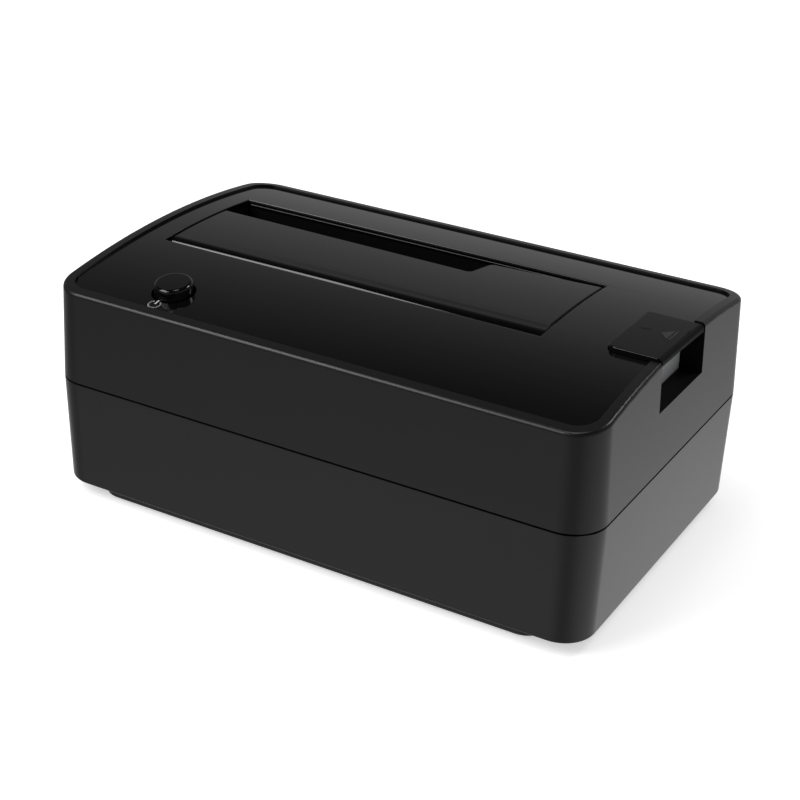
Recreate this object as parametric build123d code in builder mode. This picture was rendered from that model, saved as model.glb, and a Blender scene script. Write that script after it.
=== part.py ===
"""Docking station for one bare disk drive, large or small, that stands on end in its bay.

Millimetres, +Z up. The origin is on the table under the middle of the body, and the front faces -Y.
"""

import os
from math import atan, degrees, hypot, sqrt

from build123d import *

os.makedirs("parts", exist_ok=True)

# The drives that the dock takes, and the room that the bay gives the large one and the folded door
drive_span = 101.6
drive_thickness = 26.1
drive_gap = 1.05
fold_space = 9.5

# Casing: margins round the bay, heights, walls and edges
left_margin = 10.4
front_margin = 34.05
shaft_distance = 15.0
notch_length = 13.93
port_bay_gap = 1.23
corner_radius = 8.7
seam_height = 30.9
crown_middle = 58.75
crown_front_fall = 4.75
crown_rear_fall = 3.75
lower_lean = 0.72
upper_lean = 0.97
wall = 2.2
seam_gap = 0.4
lip_inset = 1.2
lip_height = 1.6
lip_gap = 0.15
bottom_edge_round = 0.9
rim_width = 2.7
rim_round = 1.0
deck = 2.0
overrun = 5.0

# Foot and pedestal
foot_proud = 1.0
foot_seat = 1.0
foot_radius = 5.0
foot_round = 0.4
foot_gap = 0.15
pedestal_height = 2.0
pedestal_inset_x = 11.0
pedestal_inset_y = 2.35
pedestal_radius = 6.0
pedestal_edge = 0.4
floor = 2.0

# Glossy top panel
panel_sink = 0.6
panel_thickness = 1.8
panel_gap = 0.15
lip_round = 0.7

# Drive bay and the lugs that hang it from the deck
rear_ledge = 0.55
bay_wall = 1.6
bay_floor_low = 15.0
bay_floor = 2.0
bay_top_gap = 0.1
deck_gap = 0.2
lug_radius = 3.5
lug_thickness = 2.5
lug_reach = 4.2
lug_depth = 14.65
lug_inset_left = 31.6
lug_inset_right = 22.1

# Door over the bay, hinged along its front edge
door_sink = 0.3
door_thickness = 2.0
door_gap = 0.3
door_right_gap = 0.55
door_rear_gap = 1.05
step_rear_gap = 3.4
barrel_radius = 3.2
slot_length = 73.0
slot_slant = 1.5
slot_depth_left = 10.5
slot_depth_right = 11.8
slot_corner = 1.5
pin_radius = 1.0
pin_running_gap = 0.06
pin_seat_gap = 0.02
pin_grip = 8.0
spring_pocket = 9.0
spring_pocket_wall = 0.85
pin_end_gap = 0.4
door_spring_wire = 0.5
door_spring_radius = 1.6
door_spring_pitch = 1.05
door_spring_gap = 0.3

# Screws: radius of the thread and of the head, height of the head, and length under it
case_screw_radius = 1.5
case_screw_head = 2.75
case_screw_head_height = 2.0
case_screw_length = 20.0
small_screw_radius = 1.1
small_screw_head = 2.0
small_screw_head_height = 1.3
small_screw_length = 6.0
pilot_gap = 0.05
clear_gap = 0.25
drive_recess = 0.9
drive_width = 1.0

# Posts that hold the two shells together
post_inset_x = 19.0
post_inset_y = 10.25
lower_post_radius = 4.4
upper_post_radius = 3.3
post_split = 24.0
screw_seat_depth = 10.0
pilot_depth = 12.0
lug_post_radius = 2.8
lug_pilot_depth = 5.0

# Eject button, a hollow cap that slides in its own shaft beside the bay
notch_offset = 0.2
notch_width = 25.3
notch_depth = 12.55
shaft_length = 9.0
shaft_depth = 10.0
shaft_wall = 1.6
shaft_floor = 2.0
slide_gap = 0.3
tab_front_rise = 0.75
tab_rear_rise = -0.25
tab_crown = 0.15
tab_thickness = 1.8
tab_corner = 2.5
tab_side_round = 1.2
tab_overhang_gap = 0.1
skirt_wall = 1.2
stem_radius = 1.7
stem_gap = 0.08
clip_groove = 0.5
clip_radius = 3.0
clip_thickness = 0.8
eject_travel = 6.0
eject_spring_wire = 0.5
eject_spring_radius = 2.3
eject_spring_turns = 9

# Eject lever under the bay
lever_pivot_inset = 6.1
lever_pivot_drop = 2.8
lever_inset = 4.9
lever_width = 4.0
lever_hub = 2.4
lever_pin_radius = 1.25
lever_reach = 33.0
lever_tip_width = 5.0
lever_tip_gap = 0.3
lever_arm = 3.4
lever_pad_half = 4.2
lever_pad_overhang = 3.15
lever_nose = 1.6
lever_nose_rise = 4.8
lever_bend_gap = 0.8
lever_slot_gap = 0.3
lever_slot_left_gap = 1.5
lever_post_wall = 2.0
lever_post_width = 5.4
lever_post_top_gap = 0.2
pad_gap = 0.3

# Power button and its switch, with the small board that carries it
button_inset_x = 28.8
button_inset_y = 12.4
button_radius = 4.65
button_hole_radius = 5.3
button_proud = 2.7
button_round = 0.9
button_flange_radius = 6.2
button_flange = 1.2
button_travel = 1.5
button_rest_gap = 2.2
button_wall = 1.2
button_crown_wall = 1.5
button_socket_radius = 2.7
plunger_width = 2.8
plunger_grip = 4.5
plunger_fit = 0.05
plunger_foot = 4.6
plunger_foot_height = 1.0
plunger_gap = 0.15
switch_width = 7.0
switch_height = 6.6
switch_wall = 0.8
switch_board_left_reach = 5.8
switch_board_right_reach = 12.2
switch_board_front_reach = 8.75
switch_board_rear_reach = 10.65
switch_post_radius = 2.3
switch_post_inset = 2.4
switch_spring_wire = 0.35
switch_spring_radius = 1.7
switch_spring_turns = 5
light_offset_x = 4.8
light_offset_y = 7.55
light_radius = 0.6
light_gap = 0.1
light_stem_radius = 1.1
light_chip = 1.6
light_chip_height = 0.8

# Main board and the bosses under it
board = 1.6
board_z = 8.0
board_inset_left = 12.5
board_inset_rear = 3.35
board_lever_gap = 6.0
board_front_reach = 11.2
board_post_gap = 0.8
boss_radius = 2.6
boss_inset = 4.5
boss_inset_front = 4.0
boss_socket_gap = 0.8
boss_inset_rear = 4.4
boss_pilot_depth = 4.5

# Drive socket
socket_inset = 24.6
socket_rear_inset = 3.3
socket_width = 42.0
socket_depth = 5.8
socket_stand = 3.5
socket_window_gap = 0.4
slit_depth = 6.0
slit_width = 2.4
slit_signal = 10.6
slit_power = 21.0
slit_spacing = 2.6
contact_pitch = 1.27
contact_width = 0.6
contact_thickness = 0.4
contact_length = 5.0
signal_contacts = 7
power_contacts = 15

# Data port and power inlet
usb_inset = 38.0
usb_width = 13.1
usb_height = 13.0
usb_length = 17.0
usb_shell = 0.6
usb_face_gap = 0.3
usb_tongue_width = 5.6
usb_tongue_height = 3.2
usb_tongue_length = 9.0
usb_block_depth = 5.0
usb_upper_height = 1.9
usb_tongue_drop = 1.4
usb_upper_rise = 3.6
jack_inset = 18.0
jack_width = 9.0
jack_height = 11.0
jack_length = 14.2
jack_bore_radius = 3.2
jack_bore_depth = 9.5
jack_axis_height = 6.5
jack_pin_radius = 1.0
jack_pin_gap = 1.0
port_gap = 0.25

# What else the main board carries, placed from its right and front edges
chip_width = 9.0
chip_height = 1.1
chip_inset = 38.0
chip_reach = 22.0
chip_corner = 0.3
memory_width = 5.0
memory_depth = 4.0
memory_inset = 24.0
memory_reach = 20.0
crystal_length = 5.0
crystal_width = 3.2
crystal_height = 0.9
crystal_inset = 48.0
crystal_reach = 20.0
crystal_corner = 1.0
coil_width = 6.0
coil_height = 3.0
coil_round = 1.2
coil_inset = 10.0
coil_reach = 27.0
can_radius = 3.15
can_height = 7.7
can_foot = 0.9
can_round = 0.5
can_inset = 28.0
can_reach = 4.7
can_pitch = 8.0
can_count = 3

# Lead between the boards; how far it runs straight at its ends, and its bends, are shares
header_inset = 16.5
header_reach = 4.5
header_width = 9.8
header_depth = 5.8
header_height = 6.0
header_wall = 0.8
header_floor = 1.2
plug_gap = 0.1
plug_stand = 1.5
lead_radius = 1.1
lead_offset_x = 3.2
lead_offset_y = 4.35
lead_straight_share = 0.37
lead_bend_share = 0.66

# Overall sizes, which follow from the drive, the ports and the margins
bay_length = drive_span + 2 * drive_gap
port_face_inset = lower_lean + usb_face_gap
rear_margin = bay_wall + port_bay_gap + usb_length + port_face_inset
body_width = left_margin + bay_length + shaft_distance + notch_length + upper_lean
body_depth = front_margin + drive_thickness + fold_space + rear_margin
half_width = body_width / 2
half_depth = body_depth / 2
seam_low = seam_height - seam_gap / 2
seam_high = seam_height + seam_gap / 2
pedestal_top = foot_proud + pedestal_height
floor_top = pedestal_top + floor
pedestal_floor_top = foot_proud + floor
lower_taper = degrees(atan(lower_lean / (seam_low - pedestal_top)))
upper_taper = degrees(atan(upper_lean / (crown_middle - seam_high)))

# The crown is one shallow arc over the depth of the body, through its three heights
crown_front = crown_middle - crown_front_fall
crown_rear = crown_middle - crown_rear_fall
crown_z = (2 * crown_middle**2 - 2 * half_depth**2 - crown_front**2 - crown_rear**2) / (
    4 * crown_middle - 2 * crown_front - 2 * crown_rear
)
crown_y = (crown_rear**2 - crown_front**2 + 2 * (crown_front - crown_rear) * crown_z) / (4 * half_depth)
crown_radius = hypot(crown_y, crown_middle - crown_z)


def crown_height(y, drop=0):
    """The height of the crown at y, sunk by drop along its own radius."""
    return crown_z + sqrt((crown_radius - drop) ** 2 - (y - crown_y) ** 2)


def crown_arc_points(y_low, y_high, drop):
    """Start, middle and end of the crown's arc between two places, sunk by drop."""
    return [(y, crown_height(y, drop)) for y in (y_low, (y_low + y_high) / 2, y_high)]


def under_crown(x_low, x_high, y_low, y_high, z_low, drop):
    """A block with a flat base at z_low, that reaches up to the crown sunk by drop."""
    arc = crown_arc_points(y_low, y_high, drop)
    with BuildPart() as block:
        with BuildSketch(Plane.YZ.offset(x_low)):
            with BuildLine():
                ThreePointArc(*arc)
                Polyline(arc[2], (y_high, z_low), (y_low, z_low), arc[0])
            make_face()
        extrude(amount=x_high - x_low)
    return block.part


def crown_plate(x_low, x_high, y_low, y_high, drop, thickness):
    """A plate of even thickness whose top is the crown sunk by drop."""
    top = crown_arc_points(y_low, y_high, drop)
    base = crown_arc_points(y_high, y_low, drop + thickness)
    with BuildPart() as plate:
        with BuildSketch(Plane.YZ.offset(x_low)):
            with BuildLine():
                ThreePointArc(*top)
                Line(top[2], base[0])
                ThreePointArc(*base)
                Line(base[2], top[0])
            make_face()
        extrude(amount=x_high - x_low)
    return plate.part


def box_between(x_low, x_high, y_low, y_high, z_low, z_high):
    """A plain block between two corners, for a cut or a rib."""
    centre = ((x_low + x_high) / 2, (y_low + y_high) / 2, (z_low + z_high) / 2)
    return Pos(*centre) * Box(x_high - x_low, y_high - y_low, z_high - z_low, mode=Mode.PRIVATE)


def rod(x, y, z_low, z_high, radius):
    """A plain upright cylinder between two heights."""
    return Pos(x, y, (z_low + z_high) / 2) * Cylinder(radius, z_high - z_low, mode=Mode.PRIVATE)


def cross_rod(x_low, x_high, y, z, radius):
    """A plain cylinder along X between two places."""
    upright = Cylinder(radius, x_high - x_low, mode=Mode.PRIVATE)
    return Pos((x_low + x_high) / 2, y, z) * Rot(0, 90, 0) * upright


def screw(radius, head_radius, head_height, length):
    """A cross-slotted screw that points up, with the seat of its head at the origin."""
    slot_top = drive_recess - head_height
    slot_half = drive_width / 2
    slot_reach = head_radius - head_height / 2
    with BuildPart(mode=Mode.PRIVATE) as body:
        add(rod(0, 0, -head_height, 0, head_radius))
        fillet(body.edges().group_by(Axis.Z)[0], head_height / 4)
        add(rod(0, 0, 0, length, radius))
        for across, along in ((slot_reach, slot_half), (slot_half, slot_reach)):
            add(
                box_between(-across, across, -along, along, -head_height - overrun, slot_top),
                mode=Mode.SUBTRACT,
            )
    return body.part


def tab_block(left, right, front, rear, corner, z_low, z_high):
    """An upright block with the plan of the eject tab, whose front left corner is rounded."""
    with BuildPart() as block:
        with BuildSketch(Plane.XY.offset(z_low)) as plan:
            with Locations(((left + right) / 2, (front + rear) / 2)):
                Rectangle(right - left, rear - front)
            fillet(plan.vertices().group_by(Axis.X)[0].sort_by(Axis.Y)[0], corner)
        extrude(amount=z_high - z_low)
    return block.part


def spring(radius, wire, turns, length):
    """An upright coil of round wire that starts at the origin's height."""
    pitch = (length - wire) / turns
    path = Helix(pitch=pitch, height=pitch * turns, radius=radius)
    with BuildPart() as coil:
        with BuildSketch(Plane(origin=path @ 0, z_dir=path % 0)):
            Circle(wire / 2)
        sweep(path=path, is_frenet=True)
    return Pos(0, 0, wire / 2) * coil.part


# Levels under the crown, and edges of the rim
deck_top_drop = panel_sink + panel_thickness
deck_low_drop = deck_top_drop + deck
deck_mid_drop = deck_top_drop + deck / 2
top_half_width = half_width - upper_lean
top_half_depth = half_depth - upper_lean
rim_half_width = top_half_width - rim_width
rim_half_depth = top_half_depth - rim_width
rim_corner = corner_radius - upper_lean - rim_width
stock_top = crown_middle + overrun
case_pilot = case_screw_radius + pilot_gap
case_clear = case_screw_radius + clear_gap
small_pilot = small_screw_radius + pilot_gap
small_clear = small_screw_radius + clear_gap

# Bay, its lugs and the door's hinge line
bay_left = left_margin - half_width
bay_right = bay_left + bay_length
bay_front = front_margin - half_depth
bay_rear = half_depth - rear_margin
bay_floor_top = bay_floor_low + bay_floor
opening_rear = bay_rear + rear_ledge
lug_low = crown_middle - lug_depth
lug_top = lug_low + lug_thickness
lug_left = bay_left + lug_inset_left
lug_right = bay_right - lug_inset_right
lug_front = bay_front - bay_wall - lug_reach
lug_rear = bay_rear + bay_wall + lug_reach
lug_places = [(x, y) for x in (lug_left, lug_right) for y in (lug_front, lug_rear)]
door_drop = panel_sink + door_sink
hinge_y = bay_front + door_gap + barrel_radius
hinge_z = crown_height(hinge_y, door_drop + barrel_radius)

# Eject shaft, notch and tab
notch_front = bay_front + notch_offset
notch_rear = notch_front + notch_width
notch_floor = crown_middle - notch_depth
shaft_left = top_half_width - notch_length
shaft_right = shaft_left + shaft_length
shaft_low = notch_floor - shaft_depth
shaft_floor_top = shaft_low + shaft_floor
shaft_corner = tab_corner + slide_gap
tab_left = shaft_left + slide_gap
tab_right = top_half_width - tab_overhang_gap
tab_front = notch_front + slide_gap
tab_rear = notch_rear - slide_gap
tab_front_height = crown_height(tab_front) + tab_front_rise
tab_rear_height = crown_height(tab_rear) + tab_rear_rise
tab_middle_height = (tab_front_height + tab_rear_height) / 2 + tab_crown
skirt_right = shaft_right - slide_gap
skirt_low = shaft_floor_top + eject_travel + slide_gap
stem_x = (tab_left + skirt_right) / 2
stem_y = (tab_front + tab_rear) / 2

# Drive socket
socket_x = bay_left + socket_inset
socket_y = bay_rear - socket_rear_inset
socket_rear = socket_y + socket_depth / 2
socket_top = bay_floor_top + socket_stand

# Lever under the bay
lever_pivot_x = bay_right - lever_pivot_inset
lever_pivot_z = bay_floor_low - lever_pivot_drop
lever_y = bay_rear - lever_inset
lever_tip_x = lever_pivot_x - lever_reach
lever_pad_front = stem_y - lever_pad_overhang
lever_nose_z = lever_pivot_z + lever_nose_rise
lever_bend_x = bay_right + bay_wall + lever_bend_gap

# Power button, switch board and light
button_x = button_inset_x - half_width
button_y = button_inset_y - half_depth
button_flange_top = crown_height(button_y - button_flange_radius, deck_low_drop) - slide_gap
flange_low = button_flange_top - button_flange
switch_top = flange_low - button_travel - button_rest_gap
switch_board_top = switch_top - switch_height
switch_board_z = switch_board_top - board
switch_board_left = button_x - switch_board_left_reach
switch_board_right = button_x + switch_board_right_reach
switch_board_front = button_y - switch_board_front_reach
switch_board_rear = button_y + switch_board_rear_reach
light_x = button_x + light_offset_x
light_y = button_y - light_offset_y

# Posts, bosses and the main board
post_x = half_width - post_inset_x
post_y = half_depth - post_inset_y
post_places = [(x, y) for x in (-post_x, post_x) for y in (-post_y, post_y)]
screw_seat = post_split - screw_seat_depth
switch_post_places = [
    (switch_board_left + switch_post_inset, switch_board_rear - switch_post_inset),
    (switch_board_right - switch_post_inset, switch_board_front + switch_post_inset),
]
board_top = board_z + board
board_left = board_inset_left - half_width
board_right = lever_pivot_x - board_lever_gap
board_front = bay_front - bay_wall - board_front_reach
board_rear = half_depth - board_inset_rear
board_notch_x = lower_post_radius + board_post_gap - post_x
board_notch_y = post_y - lower_post_radius - board_post_gap
boss_places = [
    (board_left + boss_inset, board_front + boss_inset_front),
    (board_right - boss_inset, board_front + boss_inset_front),
    (board_left + boss_inset, socket_rear + boss_socket_gap + small_screw_head),
    (board_right - boss_inset, board_rear - boss_inset_rear),
]
board_face_y = half_depth - port_face_inset
usb_x = board_right - usb_inset
jack_x = board_right - jack_inset
pedestal_width = body_width - 2 * pedestal_inset_x
pedestal_depth = body_depth - 2 * pedestal_inset_y

# Lower shell: tray with leaning walls, pedestal, screw posts, board bosses, lever posts and rear windows
lever_post_top = bay_floor_low - lever_post_top_gap
lower_screw_bore = case_screw_head + clear_gap
with BuildPart() as lower_shell:
    with BuildSketch(Plane.XY.offset(seam_low)):
        RectangleRounded(body_width, body_depth, corner_radius)
    extrude(amount=pedestal_top - seam_low, taper=lower_taper)
    fillet(lower_shell.edges().group_by(Axis.Z)[0], bottom_edge_round)
    with BuildSketch(Plane.XY.offset(seam_low)):
        RectangleRounded(body_width - 2 * wall, body_depth - 2 * wall, corner_radius - wall)
    extrude(amount=floor_top - seam_low, taper=lower_taper, mode=Mode.SUBTRACT)
    with BuildSketch(Plane.XY.offset(pedestal_top)):
        RectangleRounded(pedestal_width, pedestal_depth, pedestal_radius)
    extrude(amount=-pedestal_height)
    fillet(lower_shell.edges().group_by(Axis.Z)[0], pedestal_edge)
    with BuildSketch(Plane.XY.offset(pedestal_floor_top)):
        RectangleRounded(pedestal_width - 2 * floor, pedestal_depth - 2 * floor, pedestal_radius - floor)
    extrude(amount=floor_top - pedestal_floor_top, mode=Mode.SUBTRACT)
    with BuildSketch(Plane.XY.offset(seam_low)):
        RectangleRounded(
            body_width - 2 * lip_inset,
            body_depth - 2 * lip_inset,
            corner_radius - lip_inset,
        )
        RectangleRounded(
            body_width - 2 * wall,
            body_depth - 2 * wall,
            corner_radius - wall,
            mode=Mode.SUBTRACT,
        )
    extrude(amount=seam_gap + lip_height)
    for x, y in post_places:
        add(rod(x, y, foot_proud + foot_seat, post_split, lower_post_radius))
    for x, y in boss_places:
        add(rod(x, y, foot_proud + foot_seat, board_z, boss_radius))
    for side in (-1, 1):
        inner = lever_y + side * (lever_width / 2 + lever_slot_gap)
        outer = inner + side * lever_post_wall
        add(
            box_between(
                lever_pivot_x - lever_post_width / 2,
                lever_pivot_x + lever_post_width / 2,
                min(inner, outer),
                max(inner, outer),
                foot_proud + foot_seat,
                lever_post_top,
            )
        )
    for x, y in post_places:
        add(rod(x, y, -overrun, foot_proud + foot_seat, foot_radius + foot_gap), mode=Mode.SUBTRACT)
        add(rod(x, y, -overrun, screw_seat, lower_screw_bore), mode=Mode.SUBTRACT)
        add(rod(x, y, foot_proud, post_split + overrun, case_clear), mode=Mode.SUBTRACT)
    for x, y in boss_places:
        add(rod(x, y, board_z - boss_pilot_depth, board_z + overrun, small_pilot), mode=Mode.SUBTRACT)
    with BuildSketch(Plane.XZ.offset(-half_depth)):
        with Locations((usb_x, board_top + usb_height / 2)):
            Rectangle(usb_width + 2 * port_gap, usb_height + 2 * port_gap)
        with Locations((jack_x, board_top + jack_height / 2)):
            Rectangle(jack_width + 2 * port_gap, jack_height + 2 * port_gap)
    extrude(amount=wall + overrun, mode=Mode.SUBTRACT)
    with BuildSketch(Plane.XZ.offset(-lever_y)):
        with Locations((lever_pivot_x, lever_pivot_z)):
            Circle(lever_pin_radius + pin_seat_gap)
    extrude(amount=lever_width + lever_post_wall, both=True, mode=Mode.SUBTRACT)
lower_shell.part.label = "lower_shell"
export_step(lower_shell.part, "parts/lower_shell.step")

# Upper shell: leaning walls under a crown, with a sunk deck, the eject shaft and notch, and hanging posts
crown_stock = under_crown(-body_width, body_width, -body_depth, body_depth, 0, 0)
deck_hollow = under_crown(-body_width, body_width, -body_depth, body_depth, 0, deck_low_drop)
panel_level = under_crown(-body_width, body_width, -body_depth, body_depth, 0, deck_top_drop)
notch_plan = (notch_front, notch_rear, shaft_corner)
shaft_space = tab_block(shaft_left, shaft_right, *notch_plan, shaft_floor_top, stock_top)
notch_space = tab_block(shaft_left, body_width, *notch_plan, notch_floor, stock_top)
with BuildPart() as hollow:
    with BuildSketch(Plane.XY.offset(seam_high)):
        RectangleRounded(body_width - 2 * wall, body_depth - 2 * wall, corner_radius - wall)
    extrude(amount=stock_top - seam_high, taper=upper_taper)
    add(deck_hollow, mode=Mode.INTERSECT)
with BuildPart() as panel_pocket:
    with BuildSketch(Plane.XY.offset(seam_high)):
        RectangleRounded(2 * rim_half_width, 2 * rim_half_depth, rim_corner)
    extrude(amount=stock_top - seam_high)
    add(panel_level, mode=Mode.SUBTRACT)
with BuildPart() as upper_shell:
    with BuildSketch(Plane.XY.offset(seam_high)):
        RectangleRounded(body_width, body_depth, corner_radius)
    extrude(amount=stock_top - seam_high, taper=upper_taper)
    add(crown_stock, mode=Mode.INTERSECT)
    top_face = upper_shell.faces().sort_by(Axis.Z)[-1]
    fillet(top_face.edges(), rim_round)
    add(hollow.part, mode=Mode.SUBTRACT)
    add(panel_pocket.part, mode=Mode.SUBTRACT)
    with BuildSketch(Plane.XY.offset(seam_high)):
        RectangleRounded(
            body_width - 2 * (lip_inset - lip_gap),
            body_depth - 2 * (lip_inset - lip_gap),
            corner_radius - lip_inset + lip_gap,
        )
    extrude(amount=lip_height, mode=Mode.SUBTRACT)
    for x, y in post_places:
        add(rod(x, y, post_split, crown_height(y, deck_mid_drop), upper_post_radius))
    for x, y in lug_places:
        add(rod(x, y, lug_top, crown_height(y, deck_mid_drop), lug_post_radius))
    for x, y in switch_post_places:
        add(rod(x, y, switch_board_top, crown_height(y, deck_mid_drop), switch_post_radius))
    shaft_front = notch_front - shaft_wall
    shaft_rear = notch_rear + shaft_wall
    shaft_top = crown_height(shaft_rear, deck_mid_drop)
    add(
        box_between(
            shaft_left - shaft_wall,
            shaft_right + shaft_wall,
            shaft_front,
            shaft_rear,
            shaft_low,
            shaft_top,
        )
    )
    add(
        box_between(
            shaft_right,
            half_width - wall,
            shaft_front,
            shaft_rear,
            notch_floor - shaft_wall,
            shaft_top,
        )
    )
    add(shaft_space, mode=Mode.SUBTRACT)
    add(notch_space, mode=Mode.SUBTRACT)
    stem_bore = stem_radius + stem_gap
    add(rod(stem_x, stem_y, shaft_low - overrun, shaft_floor_top + overrun, stem_bore), mode=Mode.SUBTRACT)
    add(
        box_between(
            bay_left - bay_wall - deck_gap,
            bay_right + bay_wall + deck_gap,
            bay_front - bay_wall - deck_gap,
            bay_rear + bay_wall + deck_gap,
            seam_high,
            stock_top,
        ),
        mode=Mode.SUBTRACT,
    )
    add(rod(button_x, button_y, switch_top, stock_top, button_hole_radius), mode=Mode.SUBTRACT)
    add(rod(light_x, light_y, switch_top, stock_top, light_radius + light_gap), mode=Mode.SUBTRACT)
    for x, y in post_places:
        add(rod(x, y, post_split - overrun, post_split + pilot_depth, case_pilot), mode=Mode.SUBTRACT)
    for x, y in lug_places:
        add(rod(x, y, lug_top - overrun, lug_top + lug_pilot_depth, small_pilot), mode=Mode.SUBTRACT)
    pilot_top = switch_board_top + lug_pilot_depth
    for x, y in switch_post_places:
        add(rod(x, y, switch_board_top - overrun, pilot_top, small_pilot), mode=Mode.SUBTRACT)
upper_shell.part.label = "upper_shell"
export_step(upper_shell.part, "parts/upper_shell.step")

# Glossy top panel, a curved plate with openings for the door, the button, the light and the eject tab
panel_sheet = crown_plate(-body_width, body_width, -body_depth, body_depth, panel_sink, panel_thickness)
with BuildPart() as top_panel:
    with BuildSketch(Plane.XY.offset(seam_high)):
        RectangleRounded(
            2 * (rim_half_width - panel_gap),
            2 * (rim_half_depth - panel_gap),
            rim_corner - panel_gap,
        )
    extrude(amount=stock_top - seam_high)
    add(panel_sheet, mode=Mode.INTERSECT)
    add(box_between(bay_left, bay_right, bay_front, opening_rear, seam_high, stock_top), mode=Mode.SUBTRACT)
    add(rod(button_x, button_y, seam_high, stock_top, button_hole_radius), mode=Mode.SUBTRACT)
    add(rod(light_x, light_y, seam_high, stock_top, light_radius + light_gap), mode=Mode.SUBTRACT)
    add(notch_space, mode=Mode.SUBTRACT)
    lip_edges = top_panel.edges().filter_by(Axis.X).filter_by_position(
        Axis.Y, bay_front - panel_gap, bay_front + panel_gap
    )
    fillet(lip_edges.sort_by(Axis.Z)[-1], lip_round)
top_panel.part.label = "top_panel"
export_step(top_panel.part, "parts/top_panel.step")

# Drive bay: an open well with a floor, hung from the deck by four lugs
bay_block = under_crown(
    bay_left - bay_wall,
    bay_right + bay_wall,
    bay_front - bay_wall,
    bay_rear + bay_wall,
    bay_floor_low,
    deck_top_drop + bay_top_gap,
)
lever_slot_half = lever_width / 2 + lever_slot_gap
with BuildPart() as drive_bay:
    add(bay_block)
    for x, y in lug_places:
        near = bay_front if y < 0 else bay_rear
        add(rod(x, y, lug_low, lug_top, lug_radius))
        add(box_between(x - lug_radius, x + lug_radius, min(y, near), max(y, near), lug_low, lug_top))
        add(rod(x, y, lug_low - overrun, lug_top + overrun, small_clear), mode=Mode.SUBTRACT)
    add(box_between(bay_left, bay_right, bay_front, bay_rear, bay_floor_top, stock_top), mode=Mode.SUBTRACT)
    add(
        box_between(
            socket_x - socket_width / 2 - socket_window_gap,
            socket_x + socket_width / 2 + socket_window_gap,
            socket_y - socket_depth / 2 - socket_window_gap,
            socket_y + socket_depth / 2 + socket_window_gap,
            bay_floor_low - overrun,
            bay_floor_top,
        ),
        mode=Mode.SUBTRACT,
    )
    add(
        box_between(
            lever_tip_x - lever_slot_left_gap,
            lever_pivot_x,
            lever_y - lever_slot_half,
            lever_y + lever_slot_half,
            bay_floor_low - overrun,
            bay_floor_top,
        ),
        mode=Mode.SUBTRACT,
    )
    add(
        cross_rod(
            bay_left - bay_wall - overrun,
            bay_right + bay_wall + overrun,
            hinge_y,
            hinge_z,
            pin_radius + pin_seat_gap,
        ),
        mode=Mode.SUBTRACT,
    )
drive_bay.part.label = "drive_bay"
export_step(drive_bay.part, "parts/drive_bay.step")

# Door: a curved flap with a hinge barrel along its front and a step that leaves the slot for a small drive
door_left = bay_left + door_gap
door_right = bay_right - door_right_gap
pin_bore = pin_radius + pin_running_gap
door_rear = bay_rear - door_rear_gap
step_y = bay_rear - step_rear_gap
slot_right = bay_left + slot_length
slot_left_y = bay_rear - slot_depth_left
slot_right_y = bay_rear - slot_depth_right
door_sheet = crown_plate(door_left, door_right, hinge_y, door_rear, door_drop, door_thickness)
with BuildPart() as door_flap:
    add(door_sheet)
    with BuildSketch(Plane.XY.offset(seam_high)):
        with BuildLine():
            rear_line = FilletPolyline(
                (door_left, slot_left_y),
                (slot_right, slot_right_y),
                (slot_right + slot_slant, step_y),
                (door_right, door_rear),
                radius=slot_corner,
            )
            Polyline(
                rear_line @ 1,
                (door_right, door_rear + overrun),
                (door_left, door_rear + overrun),
                rear_line @ 0,
            )
        make_face()
    extrude(amount=stock_top - seam_high, mode=Mode.SUBTRACT)
    add(cross_rod(door_left, door_right, hinge_y, hinge_z, barrel_radius))
    add(
        cross_rod(
            door_left - overrun,
            door_left + spring_pocket,
            hinge_y,
            hinge_z,
            barrel_radius - spring_pocket_wall,
        ),
        mode=Mode.SUBTRACT,
    )
    bore_end = door_left + spring_pocket + pin_grip + pin_end_gap
    add(cross_rod(door_left - overrun, bore_end, hinge_y, hinge_z, pin_bore), mode=Mode.SUBTRACT)
    bore_end = door_right - pin_grip - pin_end_gap
    add(cross_rod(bore_end, door_right + overrun, hinge_y, hinge_z, pin_bore), mode=Mode.SUBTRACT)
door_flap.part.label = "door_flap"
export_step(door_flap.part, "parts/door_flap.step")

# Two stub pins, pressed into the bay's side walls, on which the door turns
with BuildPart() as hinge_pins:
    add(cross_rod(bay_left - bay_wall, door_left + spring_pocket + pin_grip, hinge_y, hinge_z, pin_radius))
    add(cross_rod(door_right - pin_grip, bay_right + bay_wall, hinge_y, hinge_z, pin_radius))
hinge_pins.part.label = "hinge_pins"
export_step(hinge_pins.part, "parts/hinge_pins.step")

# Door spring, a coil round the left pin inside the barrel's pocket
door_spring_length = spring_pocket + door_gap - 2 * door_spring_gap
door_spring_turns = int(door_spring_length / door_spring_pitch)
door_coil = spring(door_spring_radius, door_spring_wire, door_spring_turns, door_spring_length)
with BuildPart() as door_spring:
    add(Pos(bay_left + door_spring_gap, hinge_y, hinge_z) * Rot(0, 90, 0) * door_coil)
door_spring.part.label = "door_spring"
export_step(door_spring.part, "parts/door_spring.step")

# Eject button: a hollow cap with a tab over the notch, a stem down to the lever and a clip that keeps it in
stem_low = lever_nose_z + lever_nose + pad_gap


def under_tab(x_low, x_high, z_low, drop):
    """A block from z_low up to the tab's top, sunk by drop."""
    start = (tab_front, tab_front_height - drop)
    middle = ((tab_front + tab_rear) / 2, tab_middle_height - drop)
    end = (tab_rear, tab_rear_height - drop)
    with BuildPart() as block:
        with BuildSketch(Plane.YZ.offset(x_low)):
            with BuildLine():
                ThreePointArc(start, middle, end)
                Polyline(end, (tab_rear, z_low), (tab_front, z_low), start)
            make_face()
        extrude(amount=x_high - x_low)
    return block.part


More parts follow.
